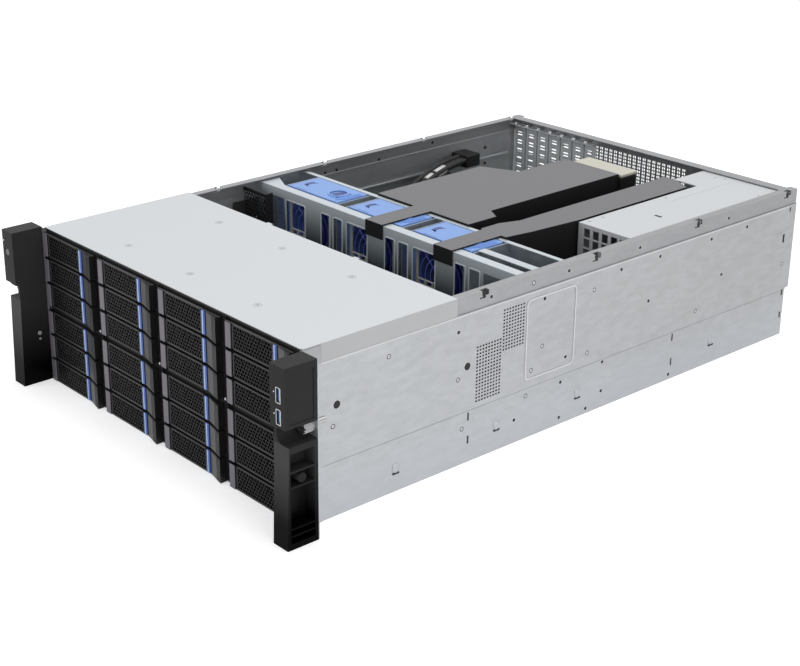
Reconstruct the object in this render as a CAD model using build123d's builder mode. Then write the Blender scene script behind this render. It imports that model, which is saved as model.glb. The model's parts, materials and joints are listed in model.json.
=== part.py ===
from build123d import *
import math
import os

# All lengths in millimetres. X runs across the rack, +Y to the rear, +Z up.

# Overall size of a four-unit rack chassis
rack_width = 482.6
panel_height = 175.6
body_depth = 711.0
ear_reach = 37.0
ear_width = 20.9
ear_gap = 2.5
wall_overhang = 5.6
handle_reach = 12.0
sheet = 1.0
slip = 0.1

# Heights and folds of the shell
lid_set = 0.1
pan_flange = 55.0
seam_lap = 15.0
joggle_drop = 17.9
lid_flange = 9.0
hook_depths = (220.0, 378.0, 539.0, body_depth - 15.0)
hook_width = 9.0
hook_height = 5.0
hook_edge = 5.0
flange_bottom = 0.5
bracket_depth = 22.0
rear_step = 2.0

# Drive bays: four columns, two cages of three rows
columns = 4
rows_per_cage = 3
cage_count = 2
row_bottom = 0.3
cage_split = 3.0
row_room = 5.8
row_gap = 2.9
drive_gap = 2.2
drive_length = 163.0
sled_gap = 6.55
sled_lift = 2.0
bay_play = 0.6
bay_edge = 0.6
divider = 1.0
cage_front = 2.0
cage_depth = 168.0

# Face of a drive carrier, measured from the left edge of its column
bezel_front = 1.0
bezel_thick = 2.4
bezel_set = 0.4
bar_width = 9.0
bar_proud = 1.0
grille_left = 10.5
grille_end = 7.7
grille_margin = 2.2
grille_slots = 5
grille_web = 2.0
latch_width = 22.0
latch_end = 9.75
latch_reach = 5.0

# Front cover and backplane
cover_depth = 187.0
cover_lip = 1.4
tab_x = 71.0
tab_width = 8.0
tab_reach = 3.0
backplane_y = 168.5
backplane_thick = 2.0
backplane_vent = 8.0
backplane_vent_gap = 12.0
backplane_vent_drop = 6.5
plug_width = 44.0
plug_height = 6.0

# Fan wall and its modules, each with two rotors one above the other
fan_wall_y = 282.0
fan_cage_depth = 68.0
fan_cage_drop = 3.2
fan_flange = 12.0
fan_shift = -27.0
fan_gap = 21.0
fan_count = 3
bay_gap = 3.5
rear_lip = 6.0
gusset_depth = 30.0
second_bar = (22.0, 32.0)
end_window = (13.8, 11.0, 12.0)
window_margin = 15.0
window_right = 6.0
window_pairs = ((-8.0, 7.0), (13.0, 28.0))
window_last = 33.0
window_down = 34.0
window_up = 32.0
module_width = 86.0
module_depth = 46.0
module_front = 15.0
module_drop = 0.2
module_foot = 1.3
bore_rim = 3.0
bore_sill = 2.425
tip_gap = 1.5
hub_r = 18.5
hub_sides = 28
hub_length = 22.0
blade_count = 7
blade_thick = 1.8
blade_pitch = 38.0
blade_chord = 24.0
blade_root = 0.5
motor_r = 15.0
motor_sides = 24
motor_length = 12.0
strut_width = 4.0
rotor_gap = 0.3
shaft_length = 8.0
shaft_r = 2.5
shaft_sides = 12
shaft_play = 0.05
grip_x = 27.0
grip_r = 8.0
grip_bite = 4.8
grip_sink = 2.0

# Air ducts: corners across the rack from the power cage, and along it from the fans or the rear wall
duct_rise = 2.0
duct_wall = 1.5
duct_floor = 42.0
duct_gap = 0.4
duct_clear = 0.9
duct_left = -82.0
duct_waist = -37.0
duct_right = 69.0
duct_neck = 87.0
duct_flare = (41.1, 51.1)
duct_waist_y = (-199.0, -179.0)
duct_end = 100.0
side_left = 51.0
side_neck = (43.0, 45.0)
side_right = (3.0, 9.0, 14.0)
side_end = 27.0
side_flare = (27.1, 33.1, 51.1)
side_waist_y = -259.0
side_end_y = (69.0, 81.0)
mouth_depth = 5.0
strap_x = -8.5
strap_width = 27.0
strap_fold = 17.0

# Power cage and its supplies
power_edge = 1.3
power_width = 81.6
power_front = 264.0
power_drop = 2.1
power_shoulder = 33.0
power_shoulder_y = 66.0
power_grid_columns = 5
power_grid_rows = 6
power_grid_left = 11.8
power_grid_top = 9.5
power_hole = 8.4
power_hole_height = 9.6
power_web = 4.0
power_bridge = 1.7
supply_count = 2
supply_width = 73.5
supply_height = 39.5
supply_length = 185.0
supply_foot = 5.0
supply_gap = 3.0
supply_play = 0.4
loop_width = 26.0
loop_bar = 4.0

# Rear wall and its expansion slots, measured from the left wall
slot_pitch = 20.32
slot_total = 7
slot_first = 11.9
slot_window = 11.0
slot_window_margin = 5.0
bracket_width = 18.4
bracket_bottom = 57.0
bracket_drop = 9.5
bracket_margin = 6.0
bracket_rungs = 9
bracket_tab = 11.0
rung_width = 8.0
rung_height = 5.6
rear_flange = 12.0
rear_vent_first = 133.9
rear_vent_slots = 20
rear_vent_pitch = 7.6
rear_vent_width = 4.6
rear_vent_drop = 2.0
rear_vent_height = 60.0
port_first = 17.9
port_z = 10.1
port_play = 0.3
port_wall = 0.8
port_depth = 20.0
ports = ((0.0, 15.0, 13.0), (24.0, 14.0, 7.0), (48.0, 30.0, 11.0))

# Side vents: depth, lowest and highest edge below the joggle, count and pitch of the slots
vents = ((213.8, 97.2, 37.1, 9, 3.87), (248.9, 52.9, 8.1, 8, 3.84))
vent_width = 2.3

# Rack screws
screw_inset = 8.75
screw_drop = 64.5
stud_r = 2.95
stud_play = 0.05
neck_r = 2.5
stud_reach = 14.0
knob_r = 6.0
knob_length = 12.0
knob_sides = 16
knob_slot = 1.6

# Ears, measured down from the top or from the screw notch
notch_drop = 2.1
ear_notch_r = 9.0
ear_box_rise = 8.0
handle_set_top = 4.0
handle_set_bottom = 1.0
pocket_drop = 6.0
pocket_bottom = 6.0
pocket_front = 5.0
pocket_back = 4.0
pocket_deep = 13.0
low_ribs = (12.4, 19.4)
rib_thick = 1.8
boss_drop = 26.0
boss_r = 4.5
boss_ribs = (-8.0, 7.0)
panel_sink = 0.8
panel_margin = 4.0
panel_lip = 6.6
usb_drops = (47.5, 27.0)
usb_width = 5.6
usb_height = 13.2
usb_depth = 16.0
usb_wall = 0.5
usb_tongue = 1.9
usb_set = 0.6
button_drop = 23.6
button_r = 4.4
button_play = 0.15
button_length = 7.0
button_travel = 1.5
button_edge = 0.8

# Main board and what stands on it
board_left_gap = 5.9
board_right_gap = 5.0
board_front = 22.0
board_back = 11.0
board_z = 8.0
board_thick = 2.0
spacer_r = 3.5
spacer_sides = 6
spacer_edge = 8.0
sink_size = 78.0
sink_height = 64.0
sink_base = 8.0
sink_fins = 9
fin_thick = 2.2
socket_size = 70.0
socket_height = 5.0
sink_places = ((-20.0, 424.0), (4.0, 545.0))
module_total = 8
dimm_pitch = 8.4
dimm_left = -158.0
dimm_front = 400.0
dimm_length = 133.0
dimm_height = 31.0
dimm_thick = 3.6
dimm_seat = 0.8

# Cables from the left wall to the fan wall, their points measured across from the wall
cable_r = 5.0
cable_bend = 0.45
cable_routes = (
    ((18.9, 596.0, 138.0), (50.9, 478.0, 146.0), (112.9, 368.0, 96.0)),
    ((12.9, 560.0, 116.0), (34.9, 458.0, 130.0), (56.9, 372.0, 96.0)),
)
plug_wall = 9.0
plug_half = 8.0
plug_depth = 24.0

# Derived places
flange_y = -(body_depth + wall_overhang + handle_reach - ear_reach) / 2
half_rack = rack_width / 2
wall_out = half_rack - ear_width - ear_gap
wall_in = wall_out - sheet
strip_in = wall_in - sheet
body_width = 2 * wall_out
rear_in = body_depth - sheet
cover_top = panel_height - lid_set
wall_top = cover_top - sheet - slip
joggle_z = cover_top - joggle_drop
column_pitch = body_width / columns
row_total = rows_per_cage * cage_count
row_pitch = (panel_height - row_room) / row_total
bezel_height = row_pitch - row_gap
drive_height = row_pitch - drive_gap
sled_width = column_pitch - sled_gap
latch_left = column_pitch - latch_end - latch_width
grille_width = latch_left - grille_left - grille_end
fan_cage_top = wall_top - fan_cage_drop
module_top = fan_cage_top - module_drop
module_height = module_top - module_foot
fan_bore_r = min(module_width / 2 - bore_rim, module_height / 4 - bore_sill)
fan_heights = (module_foot + module_height / 4, module_foot + module_height * 3 / 4)
fan_pitch = module_width + fan_gap
bay_half = module_width / 2 + bay_gap
duct_top = fan_cage_top + duct_rise
power_right = strip_in - power_edge
power_left = power_right - power_width
power_front_y = body_depth - power_front
power_top = wall_top - power_drop
slot_x = slot_first - wall_out
bracket_top = cover_top - bracket_drop
rear_vent_left = rear_vent_first - wall_out
rear_vent_top = bracket_top - rear_vent_drop
port_x = port_first - wall_out
screw_x = half_rack - screw_inset
screw_z = panel_height - screw_drop
ear_notch_z = screw_z - notch_drop
ear_front_top = ear_notch_z + ear_box_rise
handle_top = ear_notch_z - ear_notch_r
pocket_top = handle_top - pocket_drop
boss_z = pocket_top - boss_drop
rib_heights = low_ribs + tuple(boss_z + rise for rise in boss_ribs)
usb_heights = tuple(panel_height - drop for drop in usb_drops)
button_z = panel_height - button_drop
board_left = board_left_gap - wall_out
board_right = power_left - board_right_gap
board_front_y = fan_wall_y + fan_cage_depth + board_front
board_back_y = body_depth - board_back


def deep(y):
    """Y in the part's frame of a depth behind the flange plane."""
    return flange_y + y


def across(y):
    """Plane that faces the front at that depth, sketched in X and Z."""
    return Plane.XZ.offset(-deep(y))


def beside(x):
    """Plane that faces +X, sketched in Y and Z."""
    return Plane.YZ.offset(x)


def level(z):
    """Plane that faces up, sketched in X and Y."""
    return Plane.XY.offset(z)


def span(a0, a1, b0, b1, mode=Mode.ADD):
    """Rectangle between two values on each axis of the sketch in hand."""
    with Locations(((a0 + a1) / 2, (b0 + b1) / 2)):
        Rectangle(abs(a1 - a0), abs(b1 - b0), mode=mode)


def outline(*points):
    """Closed polygon in the sketch in hand."""
    Polygon(*points, align=None)


def save(piece, name):
    piece.part.label = name
    export_step(piece.part, f"parts/{name}.step")


def row_base(row):
    """Lowest edge of a carrier's face, rows counted from the bottom."""
    return row_bottom + row * row_pitch + (row // rows_per_cage) * cage_split


def column_left(column):
    return column * column_pitch - wall_out


def fan_x(index):
    return fan_shift + (index - (fan_count - 1) / 2) * fan_pitch


def make_base_pan():
    """Floor of the chassis with its two low side flanges, folded from one sheet."""
    with BuildPart() as base_pan:
        with BuildSketch(across(cage_front)):
            span(-wall_out, wall_out, 0, sheet)
            span(-wall_out, -wall_in, 0, pan_flange)
            span(wall_in, wall_out, 0, pan_flange)
        extrude(amount=-(rear_in - cage_front - slip))
    save(base_pan, "base_pan")


def make_side_panel(side, name):
    """Upper side wall: lapped seam, joggled top strip, lid hooks, vents and rack flange."""
    with BuildPart() as side_panel:
        with BuildSketch(across(cage_front)):
            span(side * strip_in, side * wall_in, pan_flange - seam_lap, pan_flange + sheet)
            span(side * strip_in, side * wall_out, pan_flange + slip, pan_flange + sheet)
            span(side * wall_in, side * wall_out, pan_flange + slip, joggle_z)
            span(side * strip_in, side * wall_out, joggle_z - sheet, joggle_z)
            span(side * strip_in, side * wall_in, joggle_z - sheet, wall_top)
        extrude(amount=-(body_depth + wall_overhang - cage_front))
        with BuildSketch(across(cage_front + slip)):
            span(side * (strip_in - lid_flange), side * wall_in, wall_top - sheet, wall_top)
        extrude(amount=-(body_depth + wall_overhang - cage_front - slip))
        # Rack flange on an angle bracket outside the wall, with the hole of the captive screw
        with BuildSketch(across(-sheet)):
            span(side * (wall_out + slip), side * half_rack, flange_bottom, wall_top)
            with Locations((side * screw_x, screw_z)):
                Circle(stud_r + stud_play, mode=Mode.SUBTRACT)
        extrude(amount=-sheet)
        with BuildSketch(across(-sheet)):
            span(side * (wall_out + slip), side * (wall_out + slip + sheet), flange_bottom, wall_top)
        extrude(amount=-(bracket_depth + sheet))
        with BuildSketch(across(cage_front)):
            span(side * wall_out, side * (wall_out + slip), pan_flange + slip, joggle_z)
        extrude(amount=-(bracket_depth - cage_front))
        # Hooks of the main lid: a slot in the top fold that turns down the strip
        with BuildSketch(level(wall_top)):
            for y in hook_depths:
                span(side * (wall_in - hook_edge), side * wall_out, deep(y), deep(y + hook_width))
        extrude(amount=-hook_height, mode=Mode.SUBTRACT)
        with BuildSketch(beside(side * (wall_out + sheet))):
            for y, low, high, count, pitch in vents:
                for k in range(count):
                    start = deep(y + k * pitch)
                    span(start, start + vent_width, joggle_z - low, joggle_z - high)
        extrude(amount=-side * 3 * sheet, mode=Mode.SUBTRACT)
        with BuildSketch(beside(side * (wall_out + sheet))):
            span(deep(body_depth), deep(body_depth + wall_overhang), 0, pan_flange + rear_step)
        extrude(amount=-side * 3 * sheet, mode=Mode.SUBTRACT)
    save(side_panel, name)


def make_front_cover():
    """Folded lid over the drive cages, with a front lip and two rear tabs."""
    lid_under = cover_top - sheet
    with BuildPart() as front_cover:
        with BuildSketch(across(cage_front)):
            span(-wall_out, wall_out, lid_under, cover_top)
            span(-wall_out, -(wall_in + slip), joggle_z + slip, cover_top)
            span(wall_in + slip, wall_out, joggle_z + slip, cover_top)
        extrude(amount=-(cover_depth - cage_front))
        with BuildSketch(across(cage_front)):
            span(-(strip_in - slip), strip_in - slip, lid_under - cover_lip, cover_top)
        extrude(amount=sheet)
        with BuildSketch(level(lid_under)):
            with Locations((-tab_x, deep(cover_depth)), (tab_x, deep(cover_depth))):
                Rectangle(tab_width, 2 * tab_reach)
        extrude(amount=sheet)
    save(front_cover, "front_cover")


def make_drive_cage(cage, name):
    """Egg-crate of dividers and shelves that carries twelve drive carriers."""
    first = row_base(cage * rows_per_cage) + sled_lift - bay_play
    bay_height = row_pitch - divider
    bottom = first - divider * (1 if cage else 0.7)
    top = min(first + rows_per_cage * row_pitch, wall_top - sheet - slip)
    cage_half = strip_in - slip
    with BuildPart() as drive_cage:
        with BuildSketch(across(cage_front + slip)):
            span(-cage_half, cage_half, bottom, top)
            for column in range(columns):
                left = max(column_left(column) + divider / 2, bay_edge - cage_half)
                right = min(column_left(column + 1) - divider / 2, cage_half - bay_edge)
                for row in range(rows_per_cage):
                    low = first + row * row_pitch
                    high = low + bay_height
                    if cage > 0 and row == rows_per_cage - 1:
                        high += divider
                    span(left, right, low, high, mode=Mode.SUBTRACT)
        extrude(amount=-(cage_depth - cage_front - slip))
    save(drive_cage, name)


def make_carrier(column, row):
    """Hot-swap carrier with its drive: marker bar, open grille and sloped latch."""
    left = column_left(column)
    low = row_base(row)
    high = low + bezel_height
    middle = left + column_pitch / 2
    with BuildPart() as carrier:
        # Drive and sled
        with BuildSketch(across(bezel_thick - bezel_front)):
            span(middle - sled_width / 2, middle + sled_width / 2, low + sled_lift, high)
        extrude(amount=-drive_length)
        with BuildSketch(across(cage_front + slip)):
            span(middle - sled_width / 2, middle + sled_width / 2, low + sled_lift,
                 low + sled_lift + drive_height)
        extrude(amount=-(drive_length - cage_front))
        # Face plate, with the grille let in as upright slots
        with BuildSketch(across(bezel_thick - bezel_front)):
            span(left + bezel_set, left + latch_left + latch_width, low, high)
        extrude(amount=bezel_thick)
        pitch = grille_width / grille_slots
        with BuildSketch(across(-bezel_front)):
            for k in range(grille_slots):
                x = left + grille_left + k * pitch
                span(x, x + pitch - grille_web, low + grille_margin, high - grille_margin)
        extrude(amount=-bezel_thick, mode=Mode.SUBTRACT)
        with BuildSketch(across(-bezel_front)):
            span(left + bezel_set, left + bar_width, low, high)
        extrude(amount=bar_proud)
        # Latch block: its face slopes forward from the strip to the free end
        front = deep(-bezel_front)
        with BuildSketch(level(low)):
            outline((left + latch_left, front), (left + latch_left + latch_width, front - latch_reach),
                    (left + latch_left + latch_width, deep(bezel_thick - bezel_front)),
                    (left + latch_left, deep(bezel_thick - bezel_front)))
        extrude(amount=bezel_height)
    save(carrier, f"drive_carrier_{column + 1}_{row + 1}")


def make_backplane():
    """Circuit board behind the drives, slotted for air, with one plug for each drive."""
    board_half = strip_in - slip
    with BuildPart() as backplane:
        with BuildSketch(across(backplane_y)):
            span(-board_half, board_half, row_base(0) + sled_lift, fan_cage_top)
            for column in range(columns):
                x = column_left(column) + column_pitch / 2
                for row in range(row_total):
                    with Locations((x, row_base(row) + sled_lift + drive_height - backplane_vent_drop)):
                        Rectangle(sled_width - backplane_vent_gap, backplane_vent, mode=Mode.SUBTRACT)
        extrude(amount=-backplane_thick)
        with BuildSketch(across(backplane_y)):
            for column in range(columns):
                for row in range(row_total):
                    with Locations((column_left(column) + column_pitch / 2,
                                    row_base(row) + sled_lift + plug_height)):
                        Rectangle(plug_width, plug_height)
        extrude(amount=backplane_y - drive_length - bezel_thick + bezel_front - bezel_set)
    save(backplane, "backplane")


def make_ear(side, name):
    """Moulded rack handle: upper box, half-round screw notch and ribbed grip pocket."""
    inner = half_rack - ear_width
    front = deep(-ear_reach)
    back = deep(-sheet)
    with BuildPart() as ear:
        with BuildSketch(beside(side * inner)):
            outline((front, ear_front_top), (front, panel_height), (back, panel_height), (back, 0),
                    (front + handle_set_bottom, 0), (front + handle_set_top, handle_top),
                    (front + handle_set_top, ear_front_top))
        extrude(amount=side * ear_width)
        with BuildSketch(across(-ear_reach)):
            with Locations((side * screw_x, ear_notch_z)):
                Circle(ear_notch_r)
            span(side * screw_x, side * (half_rack + sheet),
                 ear_notch_z - ear_notch_r, ear_notch_z + ear_notch_r)
        extrude(amount=-ear_reach, mode=Mode.SUBTRACT)
        # Grip pocket open to the outer side, crossed by moulding ribs and a screw boss
        with BuildSketch(beside(side * half_rack)):
            span(front + pocket_front, back - pocket_back, pocket_bottom, pocket_top)
            for z in rib_heights:
                span(front + pocket_front, back - pocket_back, z, z + rib_thick, mode=Mode.SUBTRACT)
            with Locations(((front + back) / 2, boss_z)):
                Circle(boss_r, mode=Mode.SUBTRACT)
        extrude(amount=-side * pocket_deep, mode=Mode.SUBTRACT)
        with BuildSketch(beside(side * half_rack)):
            span(front + pocket_front, back - pocket_back,
                 ear_front_top + panel_margin, panel_height - panel_lip)
        extrude(amount=-side * panel_sink, mode=Mode.SUBTRACT)
        if side > 0:
            with BuildSketch(across(-ear_reach)):
                for z in usb_heights:
                    with Locations((screw_x, z)):
                        Rectangle(usb_width, usb_height)
            extrude(amount=-usb_depth, mode=Mode.SUBTRACT)
        else:
            with BuildSketch(across(-ear_reach)):
                with Locations((-screw_x, button_z)):
                    Circle(button_r + button_play)
            extrude(amount=-(button_length + button_travel), mode=Mode.SUBTRACT)
    save(ear, name)


def make_power_button():
    with BuildPart() as power_button:
        with BuildSketch(across(-ear_reach)):
            with Locations((-screw_x, button_z)):
                Circle(button_r)
        extrude(amount=-button_length)
        chamfer(power_button.edges().sort_by(Axis.Y)[0], length=button_edge)
    save(power_button, "power_button")


def make_usb_ports():
    """Two sockets in the right ear: sheet shells, each with its tongue."""
    with BuildPart() as usb_ports:
        for z in usb_heights:
            with BuildSketch(across(-ear_reach + usb_set)):
                with Locations((screw_x, z)):
                    Rectangle(usb_width, usb_height)
                    Rectangle(usb_width - 2 * usb_wall, usb_height - 2 * usb_wall, mode=Mode.SUBTRACT)
            extrude(amount=-(usb_depth - usb_set))
            with BuildSketch(across(-ear_reach + usb_depth)):
                with Locations((screw_x, z)):
                    Rectangle(usb_width, usb_height)
            extrude(amount=usb_wall)
            with BuildSketch(across(-ear_reach + 2 * usb_set)):
                with Locations((screw_x + usb_wall, z)):
                    Rectangle(usb_tongue, usb_height - 4 * usb_wall)
            extrude(amount=-(usb_depth - 2 * usb_set))
    save(usb_ports, "usb_ports")


def make_thumbscrew(side, name):
    """Captive rack screw: knurled knob with a driver slot, a thin neck in the flange and a stud behind."""
    with BuildPart() as thumbscrew:
        with BuildSketch(across(-sheet - rotor_gap)):
            with Locations((side * screw_x, screw_z)):
                RegularPolygon(radius=knob_r, side_count=knob_sides)
        extrude(amount=knob_length)
        with BuildSketch(across(-sheet - rotor_gap)):
            with Locations((side * screw_x, screw_z)):
                Circle(neck_r)
        extrude(amount=-(sheet + rotor_gap))
        with BuildSketch(across(0)):
            with Locations((side * screw_x, screw_z)):
                Circle(stud_r)
        extrude(amount=-stud_reach)
        with BuildSketch(across(-sheet - rotor_gap - knob_length)):
            with Locations((side * screw_x, screw_z)):
                Rectangle(2 * knob_r, knob_slot)
        extrude(amount=-knob_slot, mode=Mode.SUBTRACT)
    save(thumbscrew, name)


def make_fan_wall():
    """Front wall of the fan cage: windows before each fan, cable windows, top fold and gusset."""
    cage_half = strip_in - slip
    first_edge = fan_x(0) - module_width / 2
    last_edge = fan_x(fan_count - 1) + module_width / 2
    with BuildPart() as fan_wall:
        with BuildSketch(across(fan_wall_y)):
            span(-cage_half, cage_half, sheet, fan_cage_top)
            for z in fan_heights:
                low, high = z - window_down, z + window_up
                span(end_window[0] - cage_half, first_edge + end_window[1], low, high, mode=Mode.SUBTRACT)
                for index in range(fan_count):
                    edge = fan_x(index) + module_width / 2
                    span(fan_x(index) - module_width / 2 + window_margin, fan_x(index) + window_right,
                         low, high, mode=Mode.SUBTRACT)
                    for start, end in window_pairs:
                        span(edge + start, edge + end, low, high, mode=Mode.SUBTRACT)
                span(last_edge + window_last, cage_half - end_window[2], low, high, mode=Mode.SUBTRACT)
        extrude(amount=-sheet)
        with BuildSketch(level(fan_cage_top - sheet)):
            span(-cage_half, cage_half, deep(fan_wall_y), deep(fan_wall_y + fan_flange))
            outline((-cage_half, deep(fan_wall_y)), (first_edge - 2 * sheet, deep(fan_wall_y)),
                    (first_edge - 2 * sheet, deep(fan_wall_y + fan_flange)),
                    (-cage_half, deep(fan_wall_y + gusset_depth)))
        extrude(amount=sheet)
    save(fan_wall, "fan_wall")


def make_fan_cage():
    """Bays behind the fan wall: upright dividers, a rear plate open at each rotor and a second bar."""
    cage_half = strip_in - slip
    back = fan_wall_y + fan_cage_depth
    with BuildPart() as fan_cage:
        with BuildSketch(across(back)):
            span(-cage_half, cage_half, sheet, fan_cage_top)
            for index in range(fan_count):
                with Locations(*[(fan_x(index), z) for z in fan_heights]):
                    Rectangle(2 * fan_bore_r, 2 * fan_bore_r, mode=Mode.SUBTRACT)
        extrude(amount=sheet)
        with BuildSketch(level(fan_cage_top - sheet)):
            span(-cage_half, cage_half, deep(back - rear_lip), deep(back))
            span(fan_x(fan_count - 1) + bay_half - sheet, cage_half,
                 deep(fan_wall_y + second_bar[0]), deep(fan_wall_y + second_bar[1]))
        extrude(amount=sheet)
        walls = [fan_x(index) + side * bay_half for index in range(fan_count) for side in (-1, 1)]
        with BuildSketch(level(sheet)):
            for x in walls + [sheet / 2 - cage_half, cage_half - sheet / 2]:
                span(x - sheet / 2, x + sheet / 2, deep(fan_wall_y + sheet), deep(back - sheet / 2))
        extrude(amount=fan_cage_top - 2 * sheet)
    save(fan_cage, "fan_cage")


def make_fan_module(index):
    """Lift-out housing for two rotors, with motor mounts and a crescent finger grip."""
    x = fan_x(index)
    front = fan_wall_y + module_front
    middle = deep(front + module_depth / 2)
    with BuildPart() as fan_module:
        with BuildSketch(across(front)):
            span(x - module_width / 2, x + module_width / 2, module_foot, module_top)
            with Locations(*[(x, z) for z in fan_heights]):
                Circle(fan_bore_r, mode=Mode.SUBTRACT)
        extrude(amount=-module_depth)
        # Motor mounts on cross struts at the outlet side
        with BuildSketch(across(front + module_depth)):
            with Locations(*[(x, z) for z in fan_heights]):
                Rectangle(2 * fan_bore_r + slip, strut_width)
                Rectangle(strut_width, 2 * fan_bore_r + slip)
        extrude(amount=strut_width)
        with BuildSketch(across(front + module_depth)):
            with Locations(*[(x, z) for z in fan_heights]):
                RegularPolygon(radius=motor_r, side_count=motor_sides)
        extrude(amount=motor_length)
        with BuildSketch(across(front + module_depth - motor_length)):
            with Locations(*[(x, z) for z in fan_heights]):
                RegularPolygon(radius=shaft_r, side_count=shaft_sides)
        extrude(amount=shaft_length)
        # Crescent finger grip let into the cap
        with BuildSketch(level(module_top)):
            with Locations((x - grip_x, middle)):
                Circle(grip_r)
            with Locations((x - grip_x + grip_bite, middle)):
                Circle(grip_r, mode=Mode.SUBTRACT)
        extrude(amount=-grip_sink, mode=Mode.SUBTRACT)
    save(fan_module, f"fan_module_{index + 1}")


def make_rotor(index, tier):
    """Pitched blades round a hub that runs on the motor shaft."""
    centre = (fan_x(index), fan_heights[tier])
    face = fan_wall_y + module_front + module_depth - motor_length - rotor_gap
    blade_length = fan_bore_r - tip_gap - hub_r
    with BuildPart() as rotor:
        with BuildSketch(across(face)):
            with Locations(centre):
                RegularPolygon(radius=hub_r, side_count=hub_sides)
        extrude(amount=hub_length)
        with BuildSketch(across(face)):
            with Locations(centre):
                Circle(shaft_r + shaft_play)
        extrude(amount=shaft_length, mode=Mode.SUBTRACT)
        hub_middle = Plane((centre[0], deep(face) - hub_length / 2, centre[1]), z_dir=(0, -1, 0))
        with Locations(hub_middle):
            with PolarLocations(0, blade_count):
                with Locations(Location((hub_r + blade_length / 2 - blade_root, 0, 0), (blade_pitch, 0, 0))):
                    Box(blade_length, blade_thick, blade_chord)
    save(rotor, f"fan_rotor_{index + 1}_{tier + 1}")


def duct_shell(corners, mouth, name, strap):
    """Open-bottomed duct under a flat top, with a strap that folds over the fan wall."""
    with BuildPart() as duct:
        with BuildSketch(level(duct_floor)):
            outline(*[(x, deep(y)) for x, y in corners])
        extrude(amount=duct_top - duct_floor)
        with BuildSketch(level(duct_floor)):
            outline(*[(x, deep(y)) for x, y in corners])
            offset(amount=-duct_wall, mode=Mode.REPLACE)
            for low, high, start, end in mouth:
                span(low + duct_wall, high - duct_wall, deep(start), deep(end))
        extrude(amount=duct_top - duct_floor - duct_wall, mode=Mode.SUBTRACT)
        with BuildSketch(level(duct_top - duct_wall)):
            span(strap, strap + strap_width,
                 deep(fan_wall_y - duct_wall - duct_gap), deep(corners[0][1] + sheet))
        extrude(amount=duct_wall)
        with BuildSketch(across(fan_wall_y - duct_gap)):
            span(strap, strap + strap_width, duct_top - strap_fold, duct_top)
        extrude(amount=duct_wall)
    save(duct, name)


def make_ducts():
    """The main duct over the processors and the side duct to the expansion slots."""
    back = fan_wall_y + fan_cage_depth
    start = back + duct_clear
    waist_y = [body_depth + y for y in duct_waist_y]
    main_right = power_left - duct_right
    neck_x = power_left - duct_neck
    duct_shell(((duct_left, start), (duct_left, waist_y[0]), (duct_waist, waist_y[1]),
                (duct_waist, body_depth - duct_end), (neck_x, body_depth - duct_end),
                (neck_x, start + duct_flare[1]), (main_right, start + duct_flare[0]), (main_right, start)),
               ((duct_left, main_right, start - mouth_depth, start + mouth_depth),
                (duct_waist, neck_x,
                 body_depth - duct_end - mouth_depth, body_depth - duct_end + mouth_depth)),
               "air_duct_main", strap_x - strap_width / 2)
    left = power_left - side_left
    neck_left, end_left = [power_left - x for x in side_neck]
    right, flare_right, mouth_right = [power_left - x for x in side_right]
    duct_shell(((left, start), (left, start + side_flare[0]), (neck_left, start + side_flare[2]),
                (end_left, body_depth - side_end_y[0]), (power_left - side_end, body_depth - side_end_y[0]),
                (right, body_depth - side_end_y[1]), (right, body_depth + side_waist_y),
                (flare_right, start + side_flare[1]), (mouth_right, start)),
               ((left, mouth_right, start - mouth_depth, start + mouth_depth),),
               "air_duct_side", strap_x + fan_pitch - strap_width / 2)


def make_power_cage():
    """Steel box over the supplies: square-holed front, shoulder plate at the rear."""
    with BuildPart() as power_cage:
        with BuildSketch(across(power_front_y)):
            span(power_left, power_right, sheet, power_top)
        extrude(amount=-(rear_in - slip - power_front_y))
        with BuildSketch(across(power_front_y + sheet)):
            span(power_left + sheet, power_right - sheet, 0, power_top - sheet)
        extrude(amount=-body_depth, mode=Mode.SUBTRACT)
        with BuildSketch(across(power_front_y)):
            for column in range(power_grid_columns):
                for row in range(power_grid_rows):
                    with Locations((power_left + power_grid_left + column * (power_hole + power_web),
                                    power_top - power_grid_top - row * (power_hole_height + power_bridge))):
                        Rectangle(power_hole, power_hole_height)
        extrude(amount=-sheet, mode=Mode.SUBTRACT)
        with BuildSketch(level(power_top - sheet)):
            span(power_left - power_shoulder, power_left + sheet, deep(body_depth - power_shoulder_y),
                 deep(rear_in - slip))
        extrude(amount=sheet)
        # Shelves that carry the supplies
        for k in range(supply_count):
            with BuildSketch(level(supply_base(k) - supply_play - sheet)):
                span(power_left + sheet / 2, power_right - sheet / 2,
                     deep(body_depth - supply_length), deep(rear_in - slip))
            extrude(amount=sheet)
    save(power_cage, "power_cage")


def supply_base(k):
    return supply_foot + k * (supply_height + supply_gap)


def make_supply(k):
    """Power supply that pulls out of the rear by its loop handle."""
    x = (power_left + power_right) / 2
    z = supply_base(k)
    with BuildPart() as supply:
        with BuildSketch(across(body_depth)):
            span(x - supply_width / 2, x + supply_width / 2, z, z + supply_height)
        extrude(amount=supply_length)
        with BuildSketch(level(z + supply_height / 2 - loop_bar)):
            span(x - loop_width / 2, x + loop_width / 2, deep(body_depth - sheet),
                 deep(body_depth + wall_overhang + handle_reach))
            span(x - loop_width / 2 + loop_bar, x + loop_width / 2 - loop_bar, deep(body_depth),
                 deep(body_depth + wall_overhang + handle_reach - loop_bar), mode=Mode.SUBTRACT)
        extrude(amount=2 * loop_bar)
    save(supply, f"power_supply_{k + 1}")


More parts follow.
